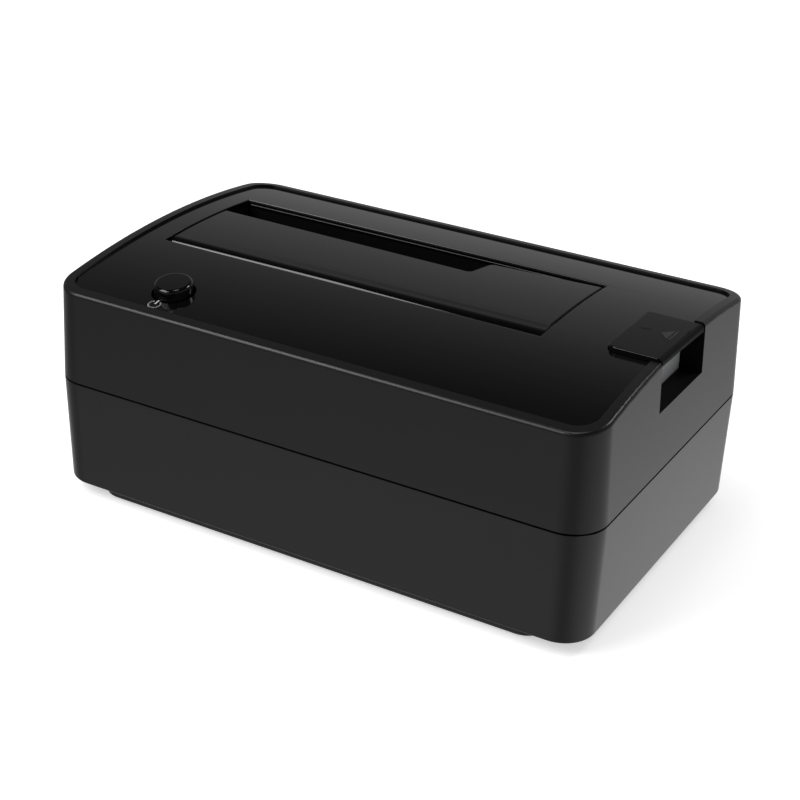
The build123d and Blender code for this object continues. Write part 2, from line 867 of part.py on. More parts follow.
tab_stock = under_tab(tab_left, tab_right, skirt_low, 0)
tab_plan = tab_block(tab_left, tab_right, tab_front, tab_rear, tab_corner, skirt_low, stock_top)
under_overhang = under_tab(skirt_right, tab_right, skirt_low, tab_thickness)
skirt_space = under_tab(tab_left + skirt_wall, skirt_right - skirt_wall, skirt_low, tab_thickness)
skirt_plan = tab_block(
    tab_left + skirt_wall,
    skirt_right - skirt_wall,
    tab_front + skirt_wall,
    tab_rear - skirt_wall,
    tab_corner - skirt_wall,
    skirt_low,
    stock_top,
)
skirt_hollow = skirt_space & skirt_plan
clip_top = shaft_low - slide_gap
clip_low = clip_top - clip_thickness
with BuildPart() as eject_button:
    add(tab_stock)
    add(tab_plan, mode=Mode.INTERSECT)
    add(under_overhang, mode=Mode.SUBTRACT)
    side_edges = eject_button.edges().group_by(Axis.X)[-1]
    fillet(side_edges.sort_by(Axis.Z)[-1], tab_side_round)
    add(skirt_hollow, mode=Mode.SUBTRACT)
    add(rod(stem_x, stem_y, stem_low, tab_middle_height - tab_thickness / 2, stem_radius))
    add(rod(stem_x, stem_y, clip_low, clip_top, clip_radius), mode=Mode.SUBTRACT)
    add(rod(stem_x, stem_y, clip_low, clip_top, stem_radius - clip_groove))
eject_button.part.label = "eject_button"
export_step(eject_button.part, "parts/eject_button.step")

# Clip in the stem's groove, open on one side, that stops the button under the shaft's floor
with BuildPart() as stem_clip:
    add(rod(stem_x, stem_y, clip_low, clip_top, clip_radius))
    add(rod(stem_x, stem_y, clip_low, clip_top, stem_radius - clip_groove), mode=Mode.SUBTRACT)
    mouth = stem_radius - clip_groove
    add(
        box_between(stem_x - mouth, stem_x + mouth, stem_y - overrun, stem_y, clip_low, clip_top),
        mode=Mode.SUBTRACT,
    )
stem_clip.part.label = "stem_clip"
export_step(stem_clip.part, "parts/stem_clip.step")

# Eject spring, a coil round the stem between the shaft's floor and the tab
eject_spring_length = tab_middle_height - tab_thickness - shaft_floor_top
eject_coil = spring(eject_spring_radius, eject_spring_wire, eject_spring_turns, eject_spring_length)
with BuildPart() as eject_spring:
    add(Pos(stem_x, stem_y, shaft_floor_top) * eject_coil)
eject_spring.part.label = "eject_spring"
export_step(eject_spring.part, "parts/eject_spring.step")

# Eject lever: pressed down by the stem, its finger comes up through the bay's floor under the drive
lever_tip_top = bay_floor_top - lever_tip_gap
lever_tip_right = lever_tip_x + lever_tip_width
arm_low = lever_pivot_z - lever_arm / 2
arm_top = lever_pivot_z + lever_arm / 2
pad_left = stem_x - lever_pad_half
pad_right = stem_x + lever_pad_half
pad_low = lever_nose_z - lever_arm
lever_rear = lever_y + lever_width / 2
with BuildPart() as eject_lever:
    with BuildSketch(Plane.XZ.offset(-lever_rear)):
        with BuildLine():
            Polyline(
                (lever_tip_x, arm_low),
                (lever_bend_x, arm_low),
                (pad_left, pad_low),
                (pad_right, pad_low),
                (pad_right, lever_nose_z),
                (pad_left, lever_nose_z),
                (lever_bend_x, arm_top),
                (lever_tip_right, arm_top),
                (lever_tip_right, lever_tip_top),
                (lever_tip_x, lever_tip_top),
                close=True,
            )
        make_face()
        with Locations((lever_pivot_x, lever_pivot_z)):
            Circle(lever_hub)
            Circle(lever_pin_radius + pin_running_gap, mode=Mode.SUBTRACT)
    extrude(amount=lever_width)
    add(box_between(pad_left, pad_right, lever_pad_front, lever_rear, pad_low, lever_nose_z))
    with BuildSketch(Plane.XZ.offset(-lever_rear)):
        with Locations((stem_x, lever_nose_z)):
            Circle(lever_nose)
    extrude(amount=lever_rear - lever_pad_front)
eject_lever.part.label = "eject_lever"
export_step(eject_lever.part, "parts/eject_lever.step")

# Pin of the lever, held in its two posts
lever_pin_half = lever_width / 2 + lever_slot_gap + lever_post_wall
with BuildPart() as lever_pin:
    with BuildSketch(Plane.XZ.offset(-lever_y)):
        with Locations((lever_pivot_x, lever_pivot_z)):
            Circle(lever_pin_radius)
    extrude(amount=lever_pin_half, both=True)
lever_pin.part.label = "lever_pin"
export_step(lever_pin.part, "parts/lever_pin.step")

# Power button: a round cap whose top follows the crown, with a flange under the deck
button_drop = panel_sink - button_proud
roof_drop = button_drop + button_crown_wall
button_crown = under_crown(-body_width, body_width, -body_depth, body_depth, 0, button_drop)
button_roof = under_crown(-body_width, body_width, -body_depth, body_depth, 0, roof_drop)
with BuildPart() as cap_space:
    add(rod(button_x, button_y, flange_low, stock_top, button_radius - button_wall))
    add(button_roof, mode=Mode.INTERSECT)
    add(rod(button_x, button_y, flange_low, stock_top, button_socket_radius), mode=Mode.SUBTRACT)
with BuildPart() as power_button:
    add(rod(button_x, button_y, flange_low, stock_top, button_radius))
    add(button_crown, mode=Mode.INTERSECT)
    fillet(power_button.edges().sort_by(Axis.Z)[-1], button_round)
    add(rod(button_x, button_y, flange_low, button_flange_top, button_flange_radius))
    add(cap_space.part, mode=Mode.SUBTRACT)
    with BuildSketch(Plane.XY.offset(flange_low)):
        with Locations((button_x, button_y)):
            Rectangle(plunger_width + 2 * plunger_fit, plunger_width + 2 * plunger_fit)
    extrude(amount=plunger_grip + plunger_fit, mode=Mode.SUBTRACT)
power_button.part.label = "power_button"
export_step(power_button.part, "parts/power_button.step")

# Latching switch: a housing on its board, a plunger and its spring
housing_roof = switch_top - switch_wall
foot_top = housing_roof - slide_gap
foot_low = foot_top - plunger_foot_height
housing_floor = switch_board_top + switch_wall
with BuildPart() as switch_housing:
    with BuildSketch(Plane.XY.offset(switch_board_top)):
        with Locations((button_x, button_y)):
            Rectangle(switch_width, switch_width)
    extrude(amount=switch_height)
    with BuildSketch(Plane.XY.offset(housing_floor)):
        with Locations((button_x, button_y)):
            Rectangle(switch_width - 2 * switch_wall, switch_width - 2 * switch_wall)
    extrude(amount=housing_roof - housing_floor, mode=Mode.SUBTRACT)
    with BuildSketch(Plane.XY.offset(housing_roof)):
        with Locations((button_x, button_y)):
            Rectangle(plunger_width + 2 * plunger_gap, plunger_width + 2 * plunger_gap)
    extrude(amount=switch_wall, mode=Mode.SUBTRACT)
switch_housing.part.label = "switch_housing"
export_step(switch_housing.part, "parts/switch_housing.step")

with BuildPart() as switch_plunger:
    with BuildSketch(Plane.XY.offset(foot_low)):
        with Locations((button_x, button_y)):
            Rectangle(plunger_foot, plunger_foot)
    extrude(amount=plunger_foot_height)
    with BuildSketch(Plane.XY.offset(foot_top)):
        with Locations((button_x, button_y)):
            Rectangle(plunger_width, plunger_width)
    extrude(amount=flange_low + plunger_grip - foot_top)
switch_plunger.part.label = "switch_plunger"
export_step(switch_plunger.part, "parts/switch_plunger.step")

switch_coil = spring(switch_spring_radius, switch_spring_wire, switch_spring_turns, foot_low - housing_floor)
with BuildPart() as switch_spring:
    add(Pos(button_x, button_y, housing_floor) * switch_coil)
switch_spring.part.label = "switch_spring"
export_step(switch_spring.part, "parts/switch_spring.step")

# Switch board under the deck, with its light and the pipe that shows it on the panel
with BuildPart() as switch_board:
    add(
        box_between(
            switch_board_left,
            switch_board_right,
            switch_board_front,
            switch_board_rear,
            switch_board_z,
            switch_board_top,
        )
    )
    for x, y in switch_post_places:
        add(rod(x, y, switch_board_z, switch_board_top, small_clear), mode=Mode.SUBTRACT)
switch_board.part.label = "switch_board"
export_step(switch_board.part, "parts/switch_board.step")

light_top = switch_board_top + light_chip_height
with BuildPart() as status_light:
    add(
        box_between(
            light_x - light_chip / 2,
            light_x + light_chip / 2,
            light_y - light_chip_height / 2,
            light_y + light_chip_height / 2,
            switch_board_top,
            light_top,
        )
    )
status_light.part.label = "status_light"
export_step(status_light.part, "parts/status_light.step")

light_shoulder = crown_height(light_y - light_stem_radius, deck_low_drop) - light_gap
pipe_crown = under_crown(-body_width, body_width, -body_depth, body_depth, 0, panel_sink)
with BuildPart() as light_pipe:
    add(rod(light_x, light_y, light_top + light_gap, stock_top, light_radius))
    add(pipe_crown, mode=Mode.INTERSECT)
    add(rod(light_x, light_y, light_top + light_gap, light_shoulder, light_stem_radius))
light_pipe.part.label = "light_pipe"
export_step(light_pipe.part, "parts/light_pipe.step")

# Main board, cut away at one corner for a post
with BuildPart() as main_board:
    with BuildSketch(Plane.XY.offset(board_z)):
        with BuildLine():
            Polyline(
                (board_left, board_front),
                (board_right, board_front),
                (board_right, board_rear),
                (board_notch_x, board_rear),
                (board_notch_x, board_notch_y),
                (board_left, board_notch_y),
                close=True,
            )
        make_face()
    extrude(amount=board)
    for x, y in boss_places:
        add(rod(x, y, board_z, board_top, small_clear), mode=Mode.SUBTRACT)
main_board.part.label = "main_board"
export_step(main_board.part, "parts/main_board.step")

# Drive socket: a signal slit and a power slit, with one row of contacts along each
slit_total = slit_signal + slit_spacing + slit_power
signal_x = socket_x - slit_total / 2 + slit_signal / 2
power_x = socket_x + slit_total / 2 - slit_power / 2
slit_low = socket_top - slit_depth
with BuildPart() as drive_socket:
    add(
        box_between(
            socket_x - socket_width / 2,
            socket_x + socket_width / 2,
            socket_y - socket_depth / 2,
            socket_y + socket_depth / 2,
            board_top,
            socket_top,
        )
    )
    for x, length in ((signal_x, slit_signal), (power_x, slit_power)):
        add(
            box_between(
                x - length / 2,
                x + length / 2,
                socket_y - slit_width / 2,
                socket_y + slit_width / 2,
                slit_low,
                socket_top,
            ),
            mode=Mode.SUBTRACT,
        )
drive_socket.part.label = "drive_socket"
export_step(drive_socket.part, "parts/drive_socket.step")

contact_y = socket_y + slit_width / 2 - contact_thickness / 2
with BuildPart() as socket_contacts:
    for row_x, count in ((signal_x, signal_contacts), (power_x, power_contacts)):
        with Locations((row_x, contact_y, slit_low + contact_length / 2)):
            with GridLocations(contact_pitch, contact_thickness, count, 1):
                Box(contact_width, contact_thickness, contact_length)
socket_contacts.part.label = "socket_contacts"
export_step(socket_contacts.part, "parts/socket_contacts.step")

# Data port: a metal shell round a plastic insert with a tongue and four contacts
usb_rear = board_face_y
usb_front = usb_rear - usb_length
usb_middle_z = board_top + usb_height / 2
with BuildPart() as usb_case:
    with BuildSketch(Plane.XZ.offset(-usb_rear)):
        with Locations((usb_x, usb_middle_z)):
            Rectangle(usb_width, usb_height)
    extrude(amount=usb_length)
    with BuildSketch(Plane.XZ.offset(-usb_rear)):
        with Locations((usb_x, usb_middle_z)):
            Rectangle(usb_width - 2 * usb_shell, usb_height - 2 * usb_shell)
    extrude(amount=usb_length - usb_shell, mode=Mode.SUBTRACT)
usb_case.part.label = "usb_case"
export_step(usb_case.part, "parts/usb_case.step")

insert_front = usb_front + usb_shell
insert_rear = insert_front + usb_block_depth
with BuildPart() as usb_insert:
    with BuildSketch(Plane.XZ.offset(-insert_rear)):
        with Locations((usb_x, usb_middle_z)):
            Rectangle(usb_width - 2 * usb_shell, usb_height - 2 * usb_shell)
    extrude(amount=usb_block_depth)
    with BuildSketch(Plane.XZ.offset(-insert_rear)):
        with Locations((usb_x, usb_middle_z - usb_tongue_drop)):
            Rectangle(usb_tongue_width, usb_tongue_height)
        with Locations((usb_x, usb_middle_z + usb_upper_rise)):
            Rectangle(usb_tongue_width, usb_upper_height)
    extrude(amount=-usb_tongue_length)
usb_insert.part.label = "usb_insert"
export_step(usb_insert.part, "parts/usb_insert.step")

# Power inlet: a block with a round bore and a centre pin
jack_rear = board_face_y
jack_front = jack_rear - jack_length
jack_axis_z = board_top + jack_axis_height
bore_floor_y = jack_rear - jack_bore_depth
with BuildPart() as power_inlet:
    add(
        box_between(
            jack_x - jack_width / 2,
            jack_x + jack_width / 2,
            jack_front,
            jack_rear,
            board_top,
            board_top + jack_height,
        )
    )
    with BuildSketch(Plane.XZ.offset(-jack_rear)):
        with Locations((jack_x, jack_axis_z)):
            Circle(jack_bore_radius)
    extrude(amount=jack_bore_depth, mode=Mode.SUBTRACT)
power_inlet.part.label = "power_inlet"
export_step(power_inlet.part, "parts/power_inlet.step")

with BuildPart() as inlet_pin:
    with BuildSketch(Plane.XZ.offset(-bore_floor_y)):
        with Locations((jack_x, jack_axis_z)):
            Circle(jack_pin_radius)
    extrude(amount=-(jack_bore_depth - jack_pin_gap))
    fillet(inlet_pin.edges().sort_by(Axis.Y)[-1], jack_pin_radius / 2)
inlet_pin.part.label = "inlet_pin"
export_step(inlet_pin.part, "parts/inlet_pin.step")


def flat_part(x, y, width, depth, height, corner):
    """A low block with round upright corners that stands on the main board."""
    with BuildPart() as block:
        with BuildSketch(Plane.XY.offset(board_top)):
            with Locations((x, y)):
                RectangleRounded(width, depth, corner)
        extrude(amount=height)
    return block.part


# Chips, crystal, coil and capacitors of the drive bridge and its power supply
chip_x = board_right - chip_inset
chip_y = board_front + chip_reach
bridge_chip = flat_part(chip_x, chip_y, chip_width, chip_width, chip_height, chip_corner)
bridge_chip.label = "bridge_chip"
export_step(bridge_chip, "parts/bridge_chip.step")

memory_x = board_right - memory_inset
memory_y = board_front + memory_reach
memory_chip = flat_part(memory_x, memory_y, memory_width, memory_depth, chip_height, chip_corner)
memory_chip.label = "memory_chip"
export_step(memory_chip, "parts/memory_chip.step")

crystal_x = board_right - crystal_inset
crystal_y = board_front + crystal_reach
crystal_plan = (crystal_x, crystal_y, crystal_length, crystal_width)
clock_crystal = flat_part(*crystal_plan, crystal_height, crystal_corner)
clock_crystal.label = "clock_crystal"
export_step(clock_crystal, "parts/clock_crystal.step")

coil_x = board_right - coil_inset
coil_y = board_front + coil_reach
power_coil = flat_part(coil_x, coil_y, coil_width, coil_width, coil_height, coil_round)
power_coil.label = "power_coil"
export_step(power_coil, "parts/power_coil.step")

can_foot_top = board_top + can_foot
can_y = board_front + can_reach
with BuildPart() as capacitors:
    for index in range(can_count):
        x = board_right - can_inset + index * can_pitch
        add(
            box_between(
                x - can_radius,
                x + can_radius,
                can_y - can_radius,
                can_y + can_radius,
                board_top,
                can_foot_top,
            )
        )
        add(rod(x, can_y, can_foot_top, board_top + can_height, can_radius))
    fillet(capacitors.edges().group_by(Axis.Z)[-1], can_round)
capacitors.part.label = "capacitors"
export_step(capacitors.part, "parts/capacitors.step")

# Lead from the main board up to the switch board: an open header, a plug in it and the lead itself
header_x = board_left + header_inset
header_y = board_front + header_reach
header_top = board_top + header_height
plug_low = board_top + header_floor
plug_top = header_top + plug_stand
with BuildPart() as lead_header:
    with BuildSketch(Plane.XY.offset(board_top)):
        with Locations((header_x, header_y)):
            Rectangle(header_width, header_depth)
    extrude(amount=header_height)
    with BuildSketch(Plane.XY.offset(plug_low)):
        with Locations((header_x, header_y)):
            Rectangle(header_width - 2 * header_wall, header_depth - 2 * header_wall)
    extrude(amount=header_height, mode=Mode.SUBTRACT)
lead_header.part.label = "lead_header"
export_step(lead_header.part, "parts/lead_header.step")

plug_trim = 2 * (header_wall + plug_gap)
with BuildPart() as lead_plug:
    with BuildSketch(Plane.XY.offset(plug_low)):
        with Locations((header_x, header_y)):
            Rectangle(header_width - plug_trim, header_depth - plug_trim)
    extrude(amount=plug_top - plug_low)
lead_plug.part.label = "lead_plug"
export_step(lead_plug.part, "parts/lead_plug.step")

lead_board_x = button_x + lead_offset_x
lead_board_y = button_y + lead_offset_y
lead_rise = (switch_board_z - plug_top) * lead_straight_share
with BuildPart() as switch_lead:
    with BuildLine():
        route = FilletPolyline(
            (header_x, header_y, plug_top),
            (header_x, header_y, plug_top + lead_rise),
            (lead_board_x, lead_board_y, switch_board_z - lead_rise),
            (lead_board_x, lead_board_y, switch_board_z),
            radius=lead_rise * lead_bend_share,
        )
    with BuildSketch(Plane.XY.offset(plug_top)):
        with Locations((header_x, header_y)):
            Circle(lead_radius)
    sweep(path=route)
switch_lead.part.label = "switch_lead"
export_step(switch_lead.part, "parts/switch_lead.step")

# Screws: the small ones hold the boards and the bay, the long ones hold the shells together
small_screw = screw(small_screw_radius, small_screw_head, small_screw_head_height, small_screw_length)
case_screw = screw(case_screw_radius, case_screw_head, case_screw_head_height, case_screw_length)
with BuildPart() as board_screws:
    for x, y in boss_places:
        add(Pos(x, y, board_top) * Rot(180, 0, 0) * small_screw)
board_screws.part.label = "board_screws"
export_step(board_screws.part, "parts/board_screws.step")

with BuildPart() as bay_screws:
    for x, y in lug_places:
        add(Pos(x, y, lug_low) * small_screw)
bay_screws.part.label = "bay_screws"
export_step(bay_screws.part, "parts/bay_screws.step")

with BuildPart() as switch_board_screws:
    for x, y in switch_post_places:
        add(Pos(x, y, switch_board_z) * small_screw)
switch_board_screws.part.label = "switch_board_screws"
export_step(switch_board_screws.part, "parts/switch_board_screws.step")

with BuildPart() as case_screws:
    for x, y in post_places:
        add(Pos(x, y, screw_seat) * case_screw)
case_screws.part.label = "case_screws"
export_step(case_screws.part, "parts/case_screws.step")

# Rubber feet, glued into shallow seats over the case screws
with BuildPart() as rubber_feet:
    for x, y in post_places:
        add(rod(x, y, 0, foot_proud + foot_seat, foot_radius))
    fillet(rubber_feet.edges().group_by(Axis.Z)[0], foot_round)
rubber_feet.part.label = "rubber_feet"
export_step(rubber_feet.part, "parts/rubber_feet.step")
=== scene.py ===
# %% [markdown]
# # Hard drive docking station
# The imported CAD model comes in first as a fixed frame. Every later piece is made around it in
# metres, so nothing has to be fitted by eye. A place on the object is written in millimetres, as on
# a drawing, and one factor turns it into Blender's metres.

# %% Load the frame
from math import cos, hypot, pi, radians, sin, sqrt

import bmesh
import bpy
from mathutils import Matrix, Vector


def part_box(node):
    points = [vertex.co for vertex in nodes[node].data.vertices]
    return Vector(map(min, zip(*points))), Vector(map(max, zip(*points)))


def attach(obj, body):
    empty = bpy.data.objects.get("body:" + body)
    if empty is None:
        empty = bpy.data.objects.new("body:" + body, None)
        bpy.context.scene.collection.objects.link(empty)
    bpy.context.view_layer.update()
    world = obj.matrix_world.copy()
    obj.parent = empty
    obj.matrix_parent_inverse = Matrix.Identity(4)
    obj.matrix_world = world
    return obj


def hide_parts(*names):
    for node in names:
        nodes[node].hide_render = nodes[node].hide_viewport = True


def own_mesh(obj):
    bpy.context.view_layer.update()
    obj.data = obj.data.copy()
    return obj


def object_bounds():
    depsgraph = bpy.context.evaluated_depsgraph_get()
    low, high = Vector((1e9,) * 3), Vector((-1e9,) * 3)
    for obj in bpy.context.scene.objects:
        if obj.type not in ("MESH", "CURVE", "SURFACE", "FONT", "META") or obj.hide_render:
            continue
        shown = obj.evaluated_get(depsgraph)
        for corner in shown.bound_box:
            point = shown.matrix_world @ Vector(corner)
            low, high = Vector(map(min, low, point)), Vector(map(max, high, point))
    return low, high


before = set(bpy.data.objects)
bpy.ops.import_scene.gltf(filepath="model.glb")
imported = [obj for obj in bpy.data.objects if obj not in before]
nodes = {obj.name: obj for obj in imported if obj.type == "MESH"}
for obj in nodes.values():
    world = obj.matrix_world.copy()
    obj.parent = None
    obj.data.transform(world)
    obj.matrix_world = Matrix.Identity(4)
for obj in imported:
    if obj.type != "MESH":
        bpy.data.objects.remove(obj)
cad_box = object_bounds()
MM = 0.001

# %% [markdown]
# ## Camera
# The photograph was taken from the front right, from above, with a long lens and the camera turned
# by nearly two degrees. The same place, aim, roll and lens give the same outline, so the picture
# and the render can be laid over each other. The camera's axes follow from its place and its aim,
# and are then turned by the roll.

# %% Camera
CAMERA_PLACE = Vector((0.19054, -0.33805, 0.21996))
CAMERA_AIM = Vector((0.0, 0.0, 0.03186))
CAMERA_ROLL = radians(1.8122)
SENSOR_WIDTH = 36.0
FOCAL_LENGTH = 79.30
FRAME_SHIFT = -0.0300
CLIP_START = 0.01
UP = Vector((0.0, 0.0, 1.0))

backwards = (CAMERA_PLACE - CAMERA_AIM).normalized()
sideways = UP.cross(backwards).normalized()
upwards = backwards.cross(sideways)
rolled_side = cos(CAMERA_ROLL) * sideways + sin(CAMERA_ROLL) * upwards
rolled_up = cos(CAMERA_ROLL) * upwards - sin(CAMERA_ROLL) * sideways
camera_turn = Matrix((rolled_side, rolled_up, backwards)).transposed().to_4x4()

camera_data = bpy.data.cameras.new("product_camera")
camera_data.sensor_width = SENSOR_WIDTH
camera_data.lens = FOCAL_LENGTH
camera_data.shift_y = FRAME_SHIFT
camera_data.clip_start = CLIP_START
camera = bpy.data.objects.new("product_camera", camera_data)
camera.matrix_world = Matrix.Translation(CAMERA_PLACE) @ camera_turn
bpy.context.scene.collection.objects.link(camera)
bpy.context.scene.camera = camera
print("camera at", [round(c, 3) for c in CAMERA_PLACE], "m, lens", FOCAL_LENGTH, "mm")

# %% [markdown]
# ## Colours and nodes
# Colours are written as the sRGB hex values that a colour picker shows. Blender's shaders work in
# linear light, so one function converts them. One more small function adds a node, sets what it
# needs and joins it to the nodes before it: a material is then a short list of such calls.

# %% Colour and node helpers
def linear(hex_colour):
    """sRGB hex, such as "#1f2021", as the linear RGBA that a shader socket takes"""
    channels = [int(hex_colour[i:i + 2], 16) / 255 for i in (1, 3, 5)]
    return [c / 12.92 if c <= 0.04045 else ((c + 0.055) / 1.055) ** 2.4 for c in channels] + [1.0]


def add(tree, kind, inputs=(), **settings):
    """adds one node: settings are its own options, and inputs are pairs of a socket and what goes
    into it, which is a value, an output socket, or a node, for that node's first output"""
    node = tree.nodes.new(kind)
    for name, value in settings.items():
        setattr(node, name, value)
    for socket, value in inputs:
        if isinstance(value, bpy.types.Node):
            value = value.outputs[0]
        if isinstance(value, bpy.types.NodeSocket):
            tree.links.new(value, node.inputs[socket])
        else:
            node.inputs[socket].default_value = value
    return node


def new_material(name):
    """an empty material, its node tree and the coordinates of the piece's own space"""
    material = bpy.data.materials.new(name)
    material.use_nodes = True
    tree = material.node_tree
    tree.nodes.clear()
    return material, tree, add(tree, "ShaderNodeTexCoord").outputs["Object"]


def close_material(tree, shader):
    """joins the shader to the material's output"""
    add(tree, "ShaderNodeOutputMaterial", [("Surface", shader)])


def seen_directly(tree):
    """1 for a ray that comes from the camera or through something clear, and 0 for any other"""
    ray = add(tree, "ShaderNodeLightPath").outputs
    return add(tree, "ShaderNodeMath", [
        (0, ray["Is Camera Ray"]), (1, ray["Is Transmission Ray"])], operation="MAXIMUM")


# %% [markdown]
# ## Studio
# A dark glossy object is lit by what it reflects. The real one stood on a white sweep in a wide
# soft light. In its gloss the sweep shows bright behind and beside the object, dimmer towards the
# camera, and it fades into the dark of the studio overhead. So the world is plain white where the
# camera looks at it, an even pale light for the plain surfaces, and that sweep for the glossy ones.

# %% World
SWEEP = {  # brightness of the sweep in the gloss, by the sine of its height above the horizon
    -1.00: "#969696", -0.56: "#fcfcfc", -0.50: "#f1f1f1", -0.43: "#d4d4d4", -0.37: "#b4b4b4",
    0.00: "#909090", 0.17: "#8a8a8a", 0.44: "#787878", 0.69: "#3c3c3c", 1.00: "#181818"}
AROUND = {  # the share of it that is left, by half turns from the front, to the left below zero
    -1.0: "#ffffff", -0.70: "#f4f4f4", -0.50: "#909090", -0.33: "#7c7c7c", -0.25: "#b0b0b0",
    -0.163: "#c8c8c8", 0.0: "#bababa", 0.08: "#989898", 0.20: "#989898", 0.33: "#c6c6c6",
    0.50: "#dcdcdc", 0.80: "#d6d6d6", 0.875: "#dadada", 0.905: "#ffffff", 1.0: "#ffffff"}
SWEEP_STRENGTH = 1.35
ROOM_STRENGTH = 0.45
SKY_STRENGTH = 1.0
WHITE = linear("#ffffff")


def ramp_over(tree, source, stops):
    """a colour ramp over values from -1 to 1"""
    share = add(tree, "ShaderNodeMapRange", [
        ("Value", source), ("From Min", -1.0), ("From Max", 1.0)])
    ramp = add(tree, "ShaderNodeValToRGB", [("Fac", share)])
    elements = ramp.color_ramp.elements
    while len(elements) < len(stops):
        elements.new(0.5)
    for element, (value, grey) in zip(elements, sorted(stops.items())):
        element.position = (value + 1.0) / 2
        element.color = linear(grey)
    return ramp.outputs["Color"]


world = bpy.data.worlds.new("studio_world")
bpy.context.scene.world = world
world.use_nodes = True
tree = world.node_tree
tree.nodes.clear()
look = add(tree, "ShaderNodeTexCoord").outputs["Generated"]
axes = add(tree, "ShaderNodeSeparateXYZ", [("Vector", look)]).outputs
rise = ramp_over(tree, axes["Z"], SWEEP)
forwards = add(tree, "ShaderNodeMath", [(0, axes["Y"]), (1, -1.0)], operation="MULTIPLY")
azimuth = add(tree, "ShaderNodeMath", [(0, axes["X"]), (1, forwards)], operation="ARCTAN2")
half_turns = add(tree, "ShaderNodeMath", [(0, azimuth), (1, 1 / pi)], operation="MULTIPLY")
turn = ramp_over(tree, half_turns, AROUND)
sweep = add(tree, "ShaderNodeMixRGB", [
    ("Fac", 1.0), ("Color1", rise), ("Color2", turn)], blend_type="MULTIPLY")
in_gloss = add(tree, "ShaderNodeBackground", [("Color", sweep), ("Strength", SWEEP_STRENGTH)])
in_room = add(tree, "ShaderNodeBackground", [("Color", WHITE), ("Strength", ROOM_STRENGTH)])
behind = add(tree, "ShaderNodeBackground", [("Color", WHITE), ("Strength", SKY_STRENGTH)])
glossy = add(tree, "ShaderNodeLightPath").outputs["Is Glossy Ray"]
lit = add(tree, "ShaderNodeMixShader", [("Fac", glossy), (1, in_room), (2, in_gloss)])
glow = add(tree, "ShaderNodeMixShader", [("Fac", seen_directly(tree)), (1, lit), (2, behind)])
add(tree, "ShaderNodeOutputWorld", [("Surface", glow)])
print("world with", len(SWEEP), "stops in height and", len(AROUND), "around")

# %% [markdown]
# ## Floor
# The object stands on white sweep paper. The paper takes the object's soft shadow, and a little
# light of its own lifts the rest of it to the white of the background. It is left out of the gloss,
# because the sweep that the walls mirror is already in the world.

# %% Floor
FLOOR_HALF = 3.0
FLOOR_LIFT = 0.52
FLECKS_PER_METRE = 900.0
floor_mesh = bpy.data.meshes.new("studio_floor")
corners = [(x * FLOOR_HALF, y * FLOOR_HALF, 0.0) for x, y in ((-1, -1), (1, -1), (1, 1), (-1, 1))]
floor_mesh.from_pydata(corners, [], [(0, 1, 2, 3)])
studio_floor = bpy.data.objects.new("studio_floor", floor_mesh)
studio_floor.visible_glossy = False
bpy.context.scene.collection.objects.link(studio_floor)

# matt paper: an even white, with a fleck of about a millimetre too faint to notice
paper, tree, place = new_material("white_sweep_paper")
fleck = add(tree, "ShaderNodeTexNoise", [
    ("Vector", place), ("Scale", FLECKS_PER_METRE), ("Detail", 2.0)])
tint = add(tree, "ShaderNodeMixRGB", [
    ("Fac", fleck), ("Color1", linear("#f1f1f1")), ("Color2", linear("#f6f6f6"))])
matte = add(tree, "ShaderNodeBsdfDiffuse", [("Color", tint)])
lift = add(tree, "ShaderNodeMath", [
    (0, seen_directly(tree)), (1, FLOOR_LIFT)], operation="MULTIPLY")
glow = add(tree, "ShaderNodeEmission", [("Strength", lift)])
close_material(tree, add(tree, "ShaderNodeAddShader", [(0, matte), (1, glow)]))
floor_mesh.materials.append(paper)
print("floor", 2 * FLOOR_HALF, "m square")

# %% [markdown]
# ## Softboxes
# Four soft lamps hang round the object, all aimed at it. A large one at the front left draws the
# thin highlight along the front rim, and smaller ones at the left, above and at the right draw the
# short glints on the button, the panel's edge and the tab.

# %% Softboxes
SOFTBOXES = (  # name, place and two sides in metres, power in watts
    ("front_softbox", (-0.33, -0.42, 0.50), (0.46, 0.34), 2.0),
    ("left_softbox", (-0.345, -0.16, 0.56), (0.16, 0.16), 0.45),
    ("top_softbox", (-0.03, -0.05, 0.68), (0.14, 0.14), 0.45),
    ("right_softbox", (0.28, 0.36, 0.52), (0.16, 0.16), 0.60),
)
for name, place, sides, power in SOFTBOXES:
    softbox_data = bpy.data.lights.new(name, "AREA")
    softbox_data.shape = "RECTANGLE"
    softbox_data.size, softbox_data.size_y = sides
    softbox_data.energy = power
    softbox = bpy.data.objects.new(name, softbox_data)
    softbox.location = place
    softbox.rotation_euler = Vector(place).to_track_quat("Z", "Y").to_euler()
    bpy.context.scene.collection.objects.link(softbox)
print(len(SOFTBOXES), "softboxes")

# %% [markdown]
# ## Plastics
# The case is moulded ABS from a spark-eroded tool, which leaves a fine satin grain. The panel, door
# and button come from a polished tool: their faces are like dark glass, with only the slow waves of
# a large moulding. Grain is bump and a little roughness from noise. Blender's noise has about one
# blob per unit, so a grain of g metres needs a scale of 1 / g. Real grain of this kind is under a
# tenth of a millimetre, finer than a pixel of the render, so it is drawn at two to five tenths, as
# coarse as it needs to be to show. The comment over each material says what it gives the eye.

# %% Plastic maker
CLOUDS_PER_METRE = 60.0
WAVE_LENGTH = 14 * MM


